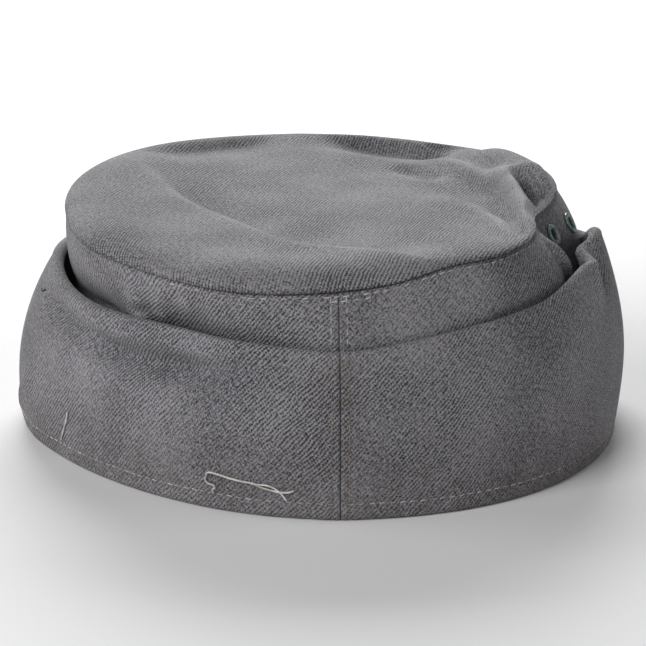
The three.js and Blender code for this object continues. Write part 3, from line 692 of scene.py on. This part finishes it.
# Outlines round their own axis, in rows of radius and height off the cloth
EYELET_CORNERS = [[1.9, -2.4], [2.2, -2.4], [2.2, 0.35], [3.4, 0.25], [3.2, 0.8], [2.5, 0.95], [1.9, 0.5]]
BUTTON_CORNERS = [[0, 0.45], [5.4, 0.45], [6, 1.3], [5.3, 2.5], [3.9, 1.75], [0, 1.7]]
CORNER_CUT = 0.22  # share of a side that its rounded corner takes
EYELET_SEAT_RADIUS = 2.3  # hole in the crown wall, round the eyelet's barrel
BUTTON_HOLE_RADIUS = 0.9
BUTTON_HOLE_OFFSET = 1.6
DRILL_REACH = 4.0  # to each side of a seat
BUTTON_THREAD_RADIUS = 0.2
BUTTON_THREAD_ASIDE = 0.22  # the two threads of a pair lie this far from their middle
BUTTON_THREAD_HEIGHT = 2.35
BUTTON_THREAD_SINK = 2.0  # at both ends, into the holes


def wall_seat(inset_at, bearing, z):
    """Places on a wall with their outward, sideways and upward directions, from small steps along it."""
    step = 0.4

    def point(b, height):
        return plan(b, inset_at(b, height), height)

    place = point(bearing, z)
    sideways = unit(point(bearing + step, z) - point(bearing - step, z))
    upward = point(bearing, z + step) - point(bearing, z - step)
    outward = unit(np.cross(upward, sideways))
    outward *= np.sign((outward * (place * [1, 1, 0])).sum(-1, keepdims=True))
    return place, outward, sideways, np.cross(outward, sideways)


def turned(outline, sides):
    """Rings of points round +Z from an outline of radius and height, closed round the axis."""
    angle = np.linspace(0, 2 * np.pi, sides + 1)[:, None]
    radius, height = outline[:, 0], outline[:, 1]
    return np.stack(np.broadcast_arrays(radius * np.cos(angle), radius * np.sin(angle), height), -1)


def rounded_outline(corners, steps):
    """Closed outline through corners given by radius and height, each cut by a quadratic curve between
    its two sides."""
    corners = np.asarray(corners, float)
    before, after = np.roll(corners, 1, 0), np.roll(corners, -1, 0)
    start, end = mix(corners, before, CORNER_CUT), mix(corners, after, CORNER_CUT)
    t = np.linspace(0, 1, steps)[None, :, None]
    curve = (1 - t) ** 2 * start[:, None] + 2 * t * (1 - t) * corners[:, None] + t ** 2 * end[:, None]
    curve = curve.reshape(-1, 2)
    return np.concatenate([curve, curve[:1]])


def placed(points, seat):
    """Points of a part made round +Z, moved on to a seat."""
    place, outward, sideways, upward = seat
    return place + points[..., :1] * sideways + points[..., 1:2] * upward + points[..., 2:] * outward


def build_eyelet(name, bearing, z, material):
    """Barrel through the crown wall with a domed flange outside."""
    outline = rounded_outline(EYELET_CORNERS, steps=5)
    points = placed(turned(outline, sides=48), wall_seat(band_inset, bearing, z))
    make_piece(name + "_ring", points.reshape(-1, 3), grid_quads(*points.shape[:2]), None,
               material, [name])


def overlap_inset(bearing, z):
    """Outer face of the flap's right end, where it lies over the left one."""
    return flap_inset(bearing, z) - FLAP_WALL - GAP


def button_holes(seat):
    """Seats of the four holes of a button on its own seat."""
    place, outward, sideways, upward = seat
    reach = BUTTON_HOLE_OFFSET / math.sqrt(2)
    return [(place + reach * (x * sideways + y * upward), outward, sideways, upward)
            for x in (-1, 1) for y in (-1, 1)]


def build_button(name, z, material, thread):
    """Dished disc with a raised rim and four holes, and the two pairs of threads that hold it."""
    seat = wall_seat(overlap_inset, 180, z)
    points = placed(turned(rounded_outline(BUTTON_CORNERS, steps=6), sides=64), seat)
    disc = make_piece(name + "_disc", points.reshape(-1, 3), grid_quads(*points.shape[:2]), None,
                      material, [name])
    holes = button_holes(seat)
    drill(disc, holes, BUTTON_HOLE_RADIUS, sides=20)
    outward, sideways = seat[1:3]
    share = np.linspace(-1, 1, 15)[:, None]
    rise = BUTTON_THREAD_HEIGHT - BUTTON_THREAD_SINK * np.abs(share) ** 6
    lines = []
    for first, last in ((0, 1), (2, 3)):
        middle = mix(holes[first][0], holes[last][0], 0.5 + 0.5 * share)
        for aside in (-BUTTON_THREAD_ASIDE, BUTTON_THREAD_ASIDE):
            lines.append(middle + aside * sideways + rise * outward)
    radii = BUTTON_THREAD_RADIUS * np.ones(len(share))
    make_tubes(name + "_threads", np.array(lines), outward, radii, thread)


def drill(piece, seats, radius, sides):
    """Cuts round holes through a piece: each is a straight cylinder about a seat's outward axis, its two
    rings numbered in turn."""
    angle = np.linspace(0, 2 * np.pi, sides, endpoint=False)[:, None]
    wall = np.stack(np.broadcast_arrays(radius * np.cos(angle), radius * np.sin(angle),
                                        [-DRILL_REACH, DRILL_REACH]), -1)
    low = np.arange(sides) * 2
    next_low = np.roll(low, -1)
    around_wall = np.stack([low, next_low, next_low + 1, low + 1], -1)
    points, faces = [], []
    for number, seat in enumerate(seats):
        start = number * 2 * sides
        points.append(placed(wall, seat).reshape(-1, 3))
        faces += (around_wall + start).tolist()
        faces += [(low[::-1] + start).tolist(), (low + 1 + start).tolist()]
    mesh = bpy.data.meshes.new("drill")
    mesh.from_pydata(((np.concatenate(points) - BOX_MIDDLE) * MM).tolist(), [], faces)
    mend(mesh)
    tool = add_object("drill", mesh)
    cut = piece.modifiers.new("holes", "BOOLEAN")
    cut.operation, cut.solver, cut.object = "DIFFERENCE", "EXACT", tool
    graph = bpy.context.evaluated_depsgraph_get()
    result = bpy.data.meshes.new_from_object(piece.evaluated_get(graph))
    piece.modifiers.clear()
    piece.data = result
    bpy.data.objects.remove(tool)


# Stitches and loose threads

TUBE_SIDES = 6
STITCH_PITCH = 3.0
STITCH_LENGTH = 2.1
STITCH_STEPS = np.linspace(-1, 1, 7)  # q along a stitch, from end to end
STITCH_RISE = 0.2 * (1 - STITCH_STEPS ** 6)
STITCH_ROUND = np.sqrt(1 - STITCH_STEPS ** 8)
STITCH_SINK = 0.1  # of both ends in the cloth
PEAK_STITCH_SINK = 0.32
THREAD_RADIUS = 0.16
TOP_THREAD_RADIUS = 0.21
LOOSE_RADIUS = 0.27
LOOSE_STEPS = 12  # from one row of a loose thread to the next
PATH_SHARE = np.linspace(0, 1, 2000)  # along a row, from end to end
TWIN_ROW = 1.1  # second row below the first where the top's sewing starts and ends
HEM_START = 0.9  # bearing where the hem's rows start, on each side
HEM_ENDS = {1: 180 + OVERLAP_ANGLE - 1.5, -1: 171}
TOP_STITCHING = [(-36, 53, 0), (-4.4, 7.1, TWIN_ROW)]  # rows of first bearing, last bearing and drop
BAND_SEAM_ROW = (34, 63.3)  # heights where it starts and ends
FLAP_SEAM_ROW = (1.5, 47)
PEAK_ROW_SHARE = 0.93  # of the peak's half width


def make_tubes(name, lines, outward, radii, material):
    """Thin tubes round lines of points, closed where the radius falls to nothing."""
    along = unit(np.gradient(lines, axis=1))
    side = unit(np.cross(along, outward))
    up = np.cross(side, along)
    angle = np.linspace(0, 2 * np.pi, TUBE_SIDES + 1)[None, :, None, None]
    ring = up[:, None] * np.cos(angle) + side[:, None] * np.sin(angle)
    points = lines[:, None] + ring * radii[:, None]
    count, sides, rings = points.shape[:3]
    first = (np.arange(count) * sides * rings)[:, None, None]
    faces = (grid_quads(sides, rings)[None] + first).reshape(-1, 4)
    make_piece(name, points.reshape(-1, 3), faces, None, material)


def stitches_along(path):
    """Length of a path at each of its points, and at the steps of each stitch on it: a row for each
    stitch, all of one length and evenly spaced."""
    length = arc_lengths(path[None], 1)[0]
    count = int(length[-1] / STITCH_PITCH)
    middle = (np.arange(count)[:, None] + 0.5) * length[-1] / count
    return length, middle + STITCH_LENGTH / 2 * STITCH_STEPS


def stitch_lines(inset_at, bearing, z):
    """Lines of the stitches of a row along a path of bearings and heights, and the directions out of
    the cloth. Each stitch comes up, lies flat and goes down again: (1 - q^6) of its rise. It slants a
    little, by a share of q and by a slow sine along the row."""
    length, at = stitches_along(plan(bearing, inset_at(bearing, z), z))
    middle = at[:, len(STITCH_STEPS) // 2, None]
    slant = 0.07 * STITCH_STEPS + 0.08 * np.sin(middle * 1.9)
    place, outward, _, _ = wall_seat(inset_at, np.interp(at, length, bearing),
                                     np.interp(at, length, z) + slant)
    return place + outward * (STITCH_RISE - STITCH_SINK)[:, None], outward


def build_rows(name, rows, material, radius=THREAD_RADIUS):
    """One mesh of several rows of stitches, each given by a wall's face, bearings and heights."""
    lines, outward = (np.concatenate(group) for group in zip(*[stitch_lines(*row) for row in rows]))
    make_tubes(name, lines, outward, radius * STITCH_ROUND, material)


def hem_row(side):
    """Row above the flap's lower edge, on the lifted face where one end lies over the other."""
    bearing = side * mix(HEM_START, HEM_ENDS[side], PATH_SHARE)
    return lambda b, z: flap_face(b, z) - flap_lift(b, side), bearing, foot_z(bearing) + HEM_LINE


def top_row(start, end, drop):
    """Row under the seam of the top, lowered by the drop."""
    bearing = mix(start, end, PATH_SHARE)
    return band_face, bearing, band_top(bearing) - TOP_LINE - drop


def seam_rows(face, low, high):
    """Two rows up a wall, one on each side of the back seam."""
    bearing = STITCH_LINE / MM_PER_DEGREE_AT_SEAM * np.ones_like(PATH_SHARE)
    return [(face, side * bearing, mix(low, high, PATH_SHARE)) for side in (-1, 1)]


def build_peak_stitches(name, material):
    """Row along the front edge of the peak."""
    t = mix(-PEAK_ROW_SHARE, PEAK_ROW_SHARE, PATH_SHARE)
    reach = peak_point(t, 0 * t)[1]
    path = peak_point(t, 1 - PEAK_HEM / reach)[0]
    length, at = stitches_along(path)
    lines = np.stack([np.interp(at, length, path[:, axis]) for axis in range(3)], -1)
    up = np.array([0.0, 0.0, 1.0])
    lines += up * (STITCH_RISE - PEAK_STITCH_SINK)[:, None]
    make_tubes(name, lines, up, THREAD_RADIUS * STITCH_ROUND, material)


def build_loose_thread(name, rows, material):
    """A thread on the flap: a smooth line through its rows, as thick as 1 - q^40 under a root, where q
    runs from -1 to 1 along it."""
    rows = np.array(rows)
    count = LOOSE_STEPS * (len(rows) - 1) + 1
    bearing, z, off = (smooth_line(rows[:, column], count) for column in range(3))
    place, outward, _, _ = wall_seat(flap_face, bearing, z)
    lines = (place + outward * (off + LOOSE_RADIUS)[:, None])[None]
    q = np.linspace(-1, 1, count)
    make_tubes(name, lines, outward[None], LOOSE_RADIUS * np.sqrt(1 - q ** 40), material)


def smooth_line(values, count):
    """Cubic through values at equal steps, its slopes taken from the values on either side."""
    ends = np.concatenate([values[:1], values, values[-1:]])
    at = np.linspace(0, len(values) - 1, count)
    low = np.minimum(at.astype(int), len(values) - 2)
    t = at - low
    before, first, last, after = (ends[low + k] for k in range(4))
    bend = t * (1 - t) * ((last - before) / 2 * (1 - t) - (after - first) / 2 * t)
    return mix(first, last, smooth(t)) + bend


# Finishes

RIB_WIDTH = 1.05  # from one rib of the twill to the next, in millimetres
YARN_LENGTH = 0.9  # of one float of yarn along a rib, in millimetres
ROW_SHIFT = 0.37  # of a float, from each rib to the next
RIB_DRIFT, RIB_JITTER = 1.8, 0.6  # how far the ribs wander slowly and quickly, in millimetres
FIBRE_TONE, FLECK_TONE = 2.3, 1.25  # of loose fibres and of larger flecks
CLOUD_AMOUNT = 0.75  # of slow clouds of wear in the wool's tone
BROAD_AMOUNT = 0.3  # of broader ones
WEAR_AND_LIGHT_AMOUNT = 0.34  # of worn nap with its painted highlight, and of painted shade
THREAD_PATCHES = {"Scale": 330.0, "Low": 0.4, "High": 0.6}  # clean thread between soil
PAINT_PATCHES = {"Scale": 500.0, "Low": 0.42, "High": 0.8}  # rubbed places
STAIN_AMOUNT = 0.42
STAIN_WIDTH = 9.0  # of the rust on each side of the back seam, in millimetres
STAIN_TOP = 47.0
STAIN_BACK = 100.0  # the back seam lies further back than this
SOIL_TOP = 28.0  # the soil from the lower edge fades out up to here


def new_material(name, roughness, sheen):
    """A material, its node tree and its shader, dull as cloth."""
    material = bpy.data.materials.new(name)
    material.use_nodes = True
    shader = material.node_tree.nodes["Principled BSDF"]
    shader.inputs["Roughness"].default_value = roughness
    shader.inputs["Specular IOR Level"].default_value = 0.25
    shader.inputs["Sheen Weight"].default_value = sheen
    shader.inputs["Sheen Roughness"].default_value = 0.45
    return material, material.node_tree, shader


def put(tree, socket, value):
    """Links an output to a socket, or sets the socket's own value."""
    if isinstance(value, bpy.types.NodeSocket):
        tree.links.new(value, socket)
    else:
        socket.default_value = value


def calc(tree, operation, *values):
    """Result of a sum or function of outputs and numbers."""
    node = tree.nodes.new("ShaderNodeMath")
    node.operation = operation
    for socket, value in zip(node.inputs, values):
        put(tree, socket, value)
    return node.outputs[0]


def cloudy(tree, place, scale, detail):
    """Noise between 0 and 1 at a place; scale is in features for each unit."""
    node = tree.nodes.new("ShaderNodeTexNoise")
    put(tree, node.inputs["Vector"], place)
    put(tree, node.inputs["Scale"], scale)
    put(tree, node.inputs["Detail"], detail)
    return node.outputs["Fac"]


def swing(tree, value, amount):
    """A value between 0 and 1 as one between minus and plus half an amount."""
    return calc(tree, "MULTIPLY_ADD", value, amount, -amount / 2)


def wave(tree, turns):
    """Sine between 0 and 1 of a number of turns."""
    sine = calc(tree, "SINE", calc(tree, "MULTIPLY", turns, 2 * math.pi))
    return calc(tree, "MULTIPLY_ADD", sine, 0.5, 0.5)


def split_up(tree, vector):
    """The three numbers of a vector."""
    node = tree.nodes.new("ShaderNodeSeparateXYZ")
    put(tree, node.inputs[0], vector)
    return node.outputs


def on_object(tree):
    """Place on the cap, in metres."""
    return tree.nodes.new("ShaderNodeTexCoord").outputs["Object"]


def raise_surface(tree, shader, height, strength, distance):
    """Relief of a height between 0 and 1, a distance deep in metres."""
    bump = tree.nodes.new("ShaderNodeBump")
    bump.inputs["Strength"].default_value = strength
    bump.inputs["Distance"].default_value = distance
    put(tree, bump.inputs["Height"], height)
    put(tree, shader.inputs["Normal"], bump.outputs["Normal"])


def shades(tree, value, stops):
    """Colour ramp over stops of position and grey or RGB."""
    node = tree.nodes.new("ShaderNodeValToRGB")
    ramp = node.color_ramp
    while len(ramp.elements) < len(stops):
        ramp.elements.new(0.5)
    for element, (position, colour) in zip(ramp.elements, stops):
        element.position = position
        element.color = (*colour, 1)
    put(tree, node.inputs["Fac"], value)
    return node.outputs["Color"]


def linear(red, green, blue):
    """Scene colour of a screen colour from 0 to 255."""
    value = np.array([red, green, blue]) / 255
    return tuple(np.where(value > 0.04045, ((value + 0.055) / 1.055) ** 2.4, value / 12.92).tolist())


def new_group(name, inputs, outputs):
    """An effect that finishes share, from the kinds of its inputs and outputs by name: the effect, what
    comes in and where its results go."""
    group = bpy.data.node_groups.new(name, "ShaderNodeTree")
    for way, sockets in (("INPUT", inputs), ("OUTPUT", outputs)):
        for socket, kind in sockets.items():
            group.interface.new_socket(socket, in_out=way, socket_type="NodeSocket" + kind)
    given = group.nodes.new("NodeGroupInput").outputs
    return group, given, group.nodes.new("NodeGroupOutput").inputs


def place_group(tree, group, values):
    """Results of a shared effect in one material, from values for its inputs."""
    node = tree.nodes.new("ShaderNodeGroup")
    node.node_tree = group
    for socket, value in values.items():
        put(tree, node.inputs[socket], value)
    return node.outputs


def patches_group():
    """Soft patches of soil or of rubbed paint: a mask that rises in a straight line from 0 to 1 as the
    noise goes from Low to High."""
    group, given, result = new_group(
        "Soft patches", {"Place": "Vector", "Scale": "Float", "Low": "Float", "High": "Float"},
        {"Mask": "Float"})
    rise = group.nodes.new("ShaderNodeMapRange")
    put(group, rise.inputs["Value"], cloudy(group, given["Place"], given["Scale"], 2))
    put(group, rise.inputs["From Min"], given["Low"])
    put(group, rise.inputs["From Max"], given["High"])
    put(group, result["Mask"], rise.outputs["Result"])
    return group


def twill_group():
    """Weave of the wool twill: ribs bent by slow noise, each laid in short floats of yarn, with loose
    fibres over them. The nap hides the ribs in slow patches. Shade and Height run from about 0 to 1."""
    group, given, result = new_group("Wool twill", {"Weave": "Vector", "Rib Width": "Float"},
                                     {"Shade": "Float", "Height": "Float"})
    scale = group.nodes.new("ShaderNodeVectorMath")
    scale.operation = "SCALE"
    scale.inputs["Scale"].default_value = 1 / MM
    put(group, scale.inputs[0], given["Weave"])
    place = scale.outputs[0]
    across, along, _ = split_up(group, place)
    drift = swing(group, cloudy(group, place, 0.12, 1), RIB_DRIFT)
    jitter = swing(group, cloudy(group, place, 1.0, 1), RIB_JITTER)
    bent = calc(group, "ADD", calc(group, "ADD", across, drift), jitter)
    rib_number = calc(group, "DIVIDE", bent, given["Rib Width"])
    rib = wave(group, rib_number)
    rounded = calc(group, "POWER", rib, 0.75)
    row_shift = calc(group, "MULTIPLY", calc(group, "FLOOR", rib_number), ROW_SHIFT)
    yarn = wave(group, calc(group, "ADD", calc(group, "DIVIDE", along, YARN_LENGTH), row_shift))
    fibres = cloudy(group, place, 1.7, 3)
    flecks = cloudy(group, place, 0.75, 2)
    bare = calc(group, "MULTIPLY_ADD", cloudy(group, place, 0.03, 1), 3.2, -0.75)
    bare = calc(group, "MINIMUM", calc(group, "MAXIMUM", bare, 0.45), 1.2)
    woven = calc(group, "MULTIPLY_ADD", yarn, 0.3, calc(group, "MULTIPLY", rounded, 0.7))
    ribbed = calc(group, "MULTIPLY", calc(group, "ADD", woven, -0.52), bare)
    height = calc(group, "MULTIPLY_ADD", fibres, 0.6, calc(group, "MULTIPLY", ribbed, 0.8))
    tone = calc(group, "MULTIPLY_ADD", ribbed, 0.95, 0.5)
    tone = calc(group, "ADD", tone, swing(group, fibres, FIBRE_TONE))
    tone = calc(group, "ADD", tone, swing(group, flecks, FLECK_TONE))
    put(group, result["Shade"], tone)
    put(group, result["Height"], height)
    return group


def blend(tree, factor, first, second):
    """Colour from the first to the second as the factor goes from 0 to 1. The numbered sockets are those
    for colours."""
    node = tree.nodes.new("ShaderNodeMix")
    node.data_type = "RGBA"
    node.clamp_factor = True
    put(tree, node.inputs["Factor"], factor)
    put(tree, node.inputs[6], first)
    put(tree, node.inputs[7], second)
    return node.outputs[2]


def stained_colour(tree, colour, solid):
    """Rust from the back seam and soil along the lower edge: brown patches that fade out on both sides
    of the seam, below the flap's lip, and upwards from the table."""
    x, y, z = split_up(tree, solid)
    side = calc(tree, "ABSOLUTE", calc(tree, "ADD", x, BOX_MIDDLE[0] * MM))
    patches = calc(tree, "MULTIPLY_ADD", cloudy(tree, solid, 210.0, 3), 3.0, -1.0)
    near = calc(tree, "MULTIPLY_ADD", side, -1 / (STAIN_WIDTH * MM), 1.0)
    below = calc(tree, "LESS_THAN", z, STAIN_TOP * MM)
    behind = calc(tree, "GREATER_THAN", y, STAIN_BACK * MM)
    seam = calc(tree, "MULTIPLY", calc(tree, "MULTIPLY", near, below), behind)
    low = calc(tree, "MULTIPLY_ADD", z, -1 / (SOIL_TOP * MM), 1.0)
    amount = calc(tree, "MULTIPLY", calc(tree, "MAXIMUM", seam, low), patches)
    amount = calc(tree, "MULTIPLY", calc(tree, "MAXIMUM", amount, 0.0), STAIN_AMOUNT)
    return blend(tree, amount, colour, (*linear(86, 74, 64), 1))


def wool_material(name, group, rib_width, dark, light):
    """Heather grey wool: the weave's shade picks between a dark and a light yarn, slow clouds of wear
    shift it both ways, worn nap and a painted highlight make creases pale, and painted shade darkens
    grooves."""
    material, tree, shader = new_material(name, 0.95, 0.1)
    weave = tree.nodes.new("ShaderNodeUVMap")
    weave.uv_map = "Weave"
    twill = place_group(tree, group, {"Weave": weave.outputs["UV"], "Rib Width": rib_width})
    solid = on_object(tree)
    worn = tree.nodes.new("ShaderNodeAttribute")
    worn.attribute_name = "WearAndPaintedLight"
    clouds = swing(tree, cloudy(tree, solid, 45.0, 3), CLOUD_AMOUNT)
    broad = swing(tree, cloudy(tree, solid, 14.0, 2), BROAD_AMOUNT)
    tone = calc(tree, "ADD", twill["Shade"], calc(tree, "ADD", clouds, broad))
    # Painted light: worn nap with a painted highlight lifts the tone on creases, painted shade lowers it in
    # grooves.
    tone = calc(tree, "MULTIPLY_ADD", worn.outputs["Fac"], WEAR_AND_LIGHT_AMOUNT, tone)
    middle = tuple(0.5 * (a + b) for a, b in zip(dark, light))
    colour = shades(tree, tone, [(0.0, dark), (0.5, middle), (1.0, light)])
    put(tree, shader.inputs["Base Color"], stained_colour(tree, colour, solid))
    raise_surface(tree, shader, twill["Height"], 0.8, 0.3 * MM)
    return material


def patchy_colour(tree, group, patches, first, second):
    """The first colour, and the second in soft patches."""
    mask = place_group(tree, group, {"Place": on_object(tree), **patches})["Mask"]
    return blend(tree, mask, (*first, 1), (*second, 1))


def thread_material(name, group, colour, soiled):
    """Cotton sewing thread, soiled here and there."""
    material, tree, shader = new_material(name, 0.8, 0.1)
    put(tree, shader.inputs["Base Color"], patchy_colour(tree, group, THREAD_PATCHES, soiled, colour))
    return material


def painted_material(name, group, colour, worn, roughness):
    """Satin paint that is rubbed lighter in small patches."""
    material, tree, shader = new_material(name, roughness, 0.0)
    shader.inputs["Specular IOR Level"].default_value = 0.5
    solid = on_object(tree)
    put(tree, shader.inputs["Base Color"], patchy_colour(tree, group, PAINT_PATCHES, colour, worn))
    raise_surface(tree, shader, cloudy(tree, solid, 2500.0, 2), 0.3, 0.05 * MM)
    return material


# Floor and light of the studio

FLOOR_SIZE = 8.0  # half of its width, in metres
LIGHT_DISTANCE = 2.4
EVEN_LIGHT = 0.04
# Softboxes: name, direction from the cap, width in metres and power in watts
SOFTBOXES = [
    ("back softbox", (0.0, -1.0, 0.5), 1.4, 80),
    ("left front softbox", (0.65, 0.75, 0.55), 1.5, 38),
    ("right softbox", (-1.0, 0.2, 0.6), 1.6, 12),
    ("left softbox", (1.0, -0.2, 0.45), 1.4, 14),
]


def build_studio():
    """Pale floor, four softboxes round the cap and a faint even light."""
    mesh = bpy.data.meshes.new("floor")
    corners = [(x * FLOOR_SIZE, y * FLOOR_SIZE, 0) for x, y in ((-1, -1), (1, -1), (1, 1), (-1, 1))]
    mesh.from_pydata(corners, [], [(0, 1, 2, 3)])
    floor = add_object("floor", mesh)
    paper, _, shader = new_material("pale paper", 0.9, 0.0)
    shader.inputs["Base Color"].default_value = (0.86, 0.86, 0.86, 1)
    mesh.materials.append(paper)
    for name, direction, size, energy in SOFTBOXES:
        lamp = bpy.data.lights.new(name, "AREA")
        lamp.shape = "SQUARE"
        lamp.size, lamp.energy = size, energy
        aim(add_object(name, lamp), Vector(direction).normalized() * LIGHT_DISTANCE, Vector())
    world = bpy.data.worlds.new("studio")
    world.use_nodes = True
    light = world.node_tree.nodes["Background"]
    light.inputs["Color"].default_value = (1, 1, 1, 1)
    light.inputs["Strength"].default_value = EVEN_LIGHT
    bpy.context.scene.world = world
    bpy.context.scene.view_settings.view_transform = "Standard"


build_camera()
build_studio()
TWILL, PATCHES = twill_group(), patches_group()
WOOL = wool_material("grey wool twill", TWILL, RIB_WIDTH, linear(51, 50, 55), linear(147, 145, 149))
THREAD = thread_material("sewing thread", PATCHES, linear(192, 187, 184), linear(142, 135, 130))
LOOSE_THREAD = thread_material("loose thread", PATCHES, linear(216, 210, 208), linear(182, 174, 170))
OLD_THREAD = thread_material("soiled thread", PATCHES, linear(150, 132, 116), linear(112, 98, 86))
# Near black: painted shade of the small nick in the flap
NICK_SHADE_PAINT = thread_material("painted nick shade", PATCHES, linear(48, 44, 44), linear(26, 24, 24))
EYELET_PAINT = painted_material("eyelet paint", PATCHES, linear(102, 119, 116), linear(168, 176, 172), 0.4)
RESIN = painted_material("button resin", PATCHES, linear(78, 82, 78), linear(92, 94, 88), 0.45)

build_flap("flap_left", -1, WOOL)
build_flap("flap_right", 1, WOOL)
for name, side in (("band_left", -1), ("band_right", 1)):
    band = build_band(name, side, WOOL)
    seats = [wall_seat(band_inset, *place) for place in EYELETS.values() if place[0] * side > 0]
    drill(band, seats, EYELET_SEAT_RADIUS, sides=24)
build_top("crown_top", WOOL)
build_peak("peak", WOOL)
for name, place in EYELETS.items():
    build_eyelet(name, *place, EYELET_PAINT)
for name, height in BUTTONS.items():
    build_button(name, height, RESIN, THREAD)
build_rows("flap_hem_stitches", [hem_row(side) for side in (1, -1)], THREAD)
build_rows("crown_top_stitches", [top_row(*row) for row in TOP_STITCHING], THREAD, TOP_THREAD_RADIUS)
build_rows("band_seam_stitches", seam_rows(band_face, *BAND_SEAM_ROW), THREAD)
build_rows("flap_seam_stitches", seam_rows(flap_face, *FLAP_SEAM_ROW), OLD_THREAD)
build_peak_stitches("peak_stitches", THREAD)
for number, rows in enumerate(LOOSE_THREADS, 1):
    build_loose_thread(f"loose_thread_{number}", rows, LOOSE_THREAD)
# Painted shade: a dark tube along the small nick in the flap
build_loose_thread("nick_shade", NICK_SHADE_PATH, NICK_SHADE_PAINT)
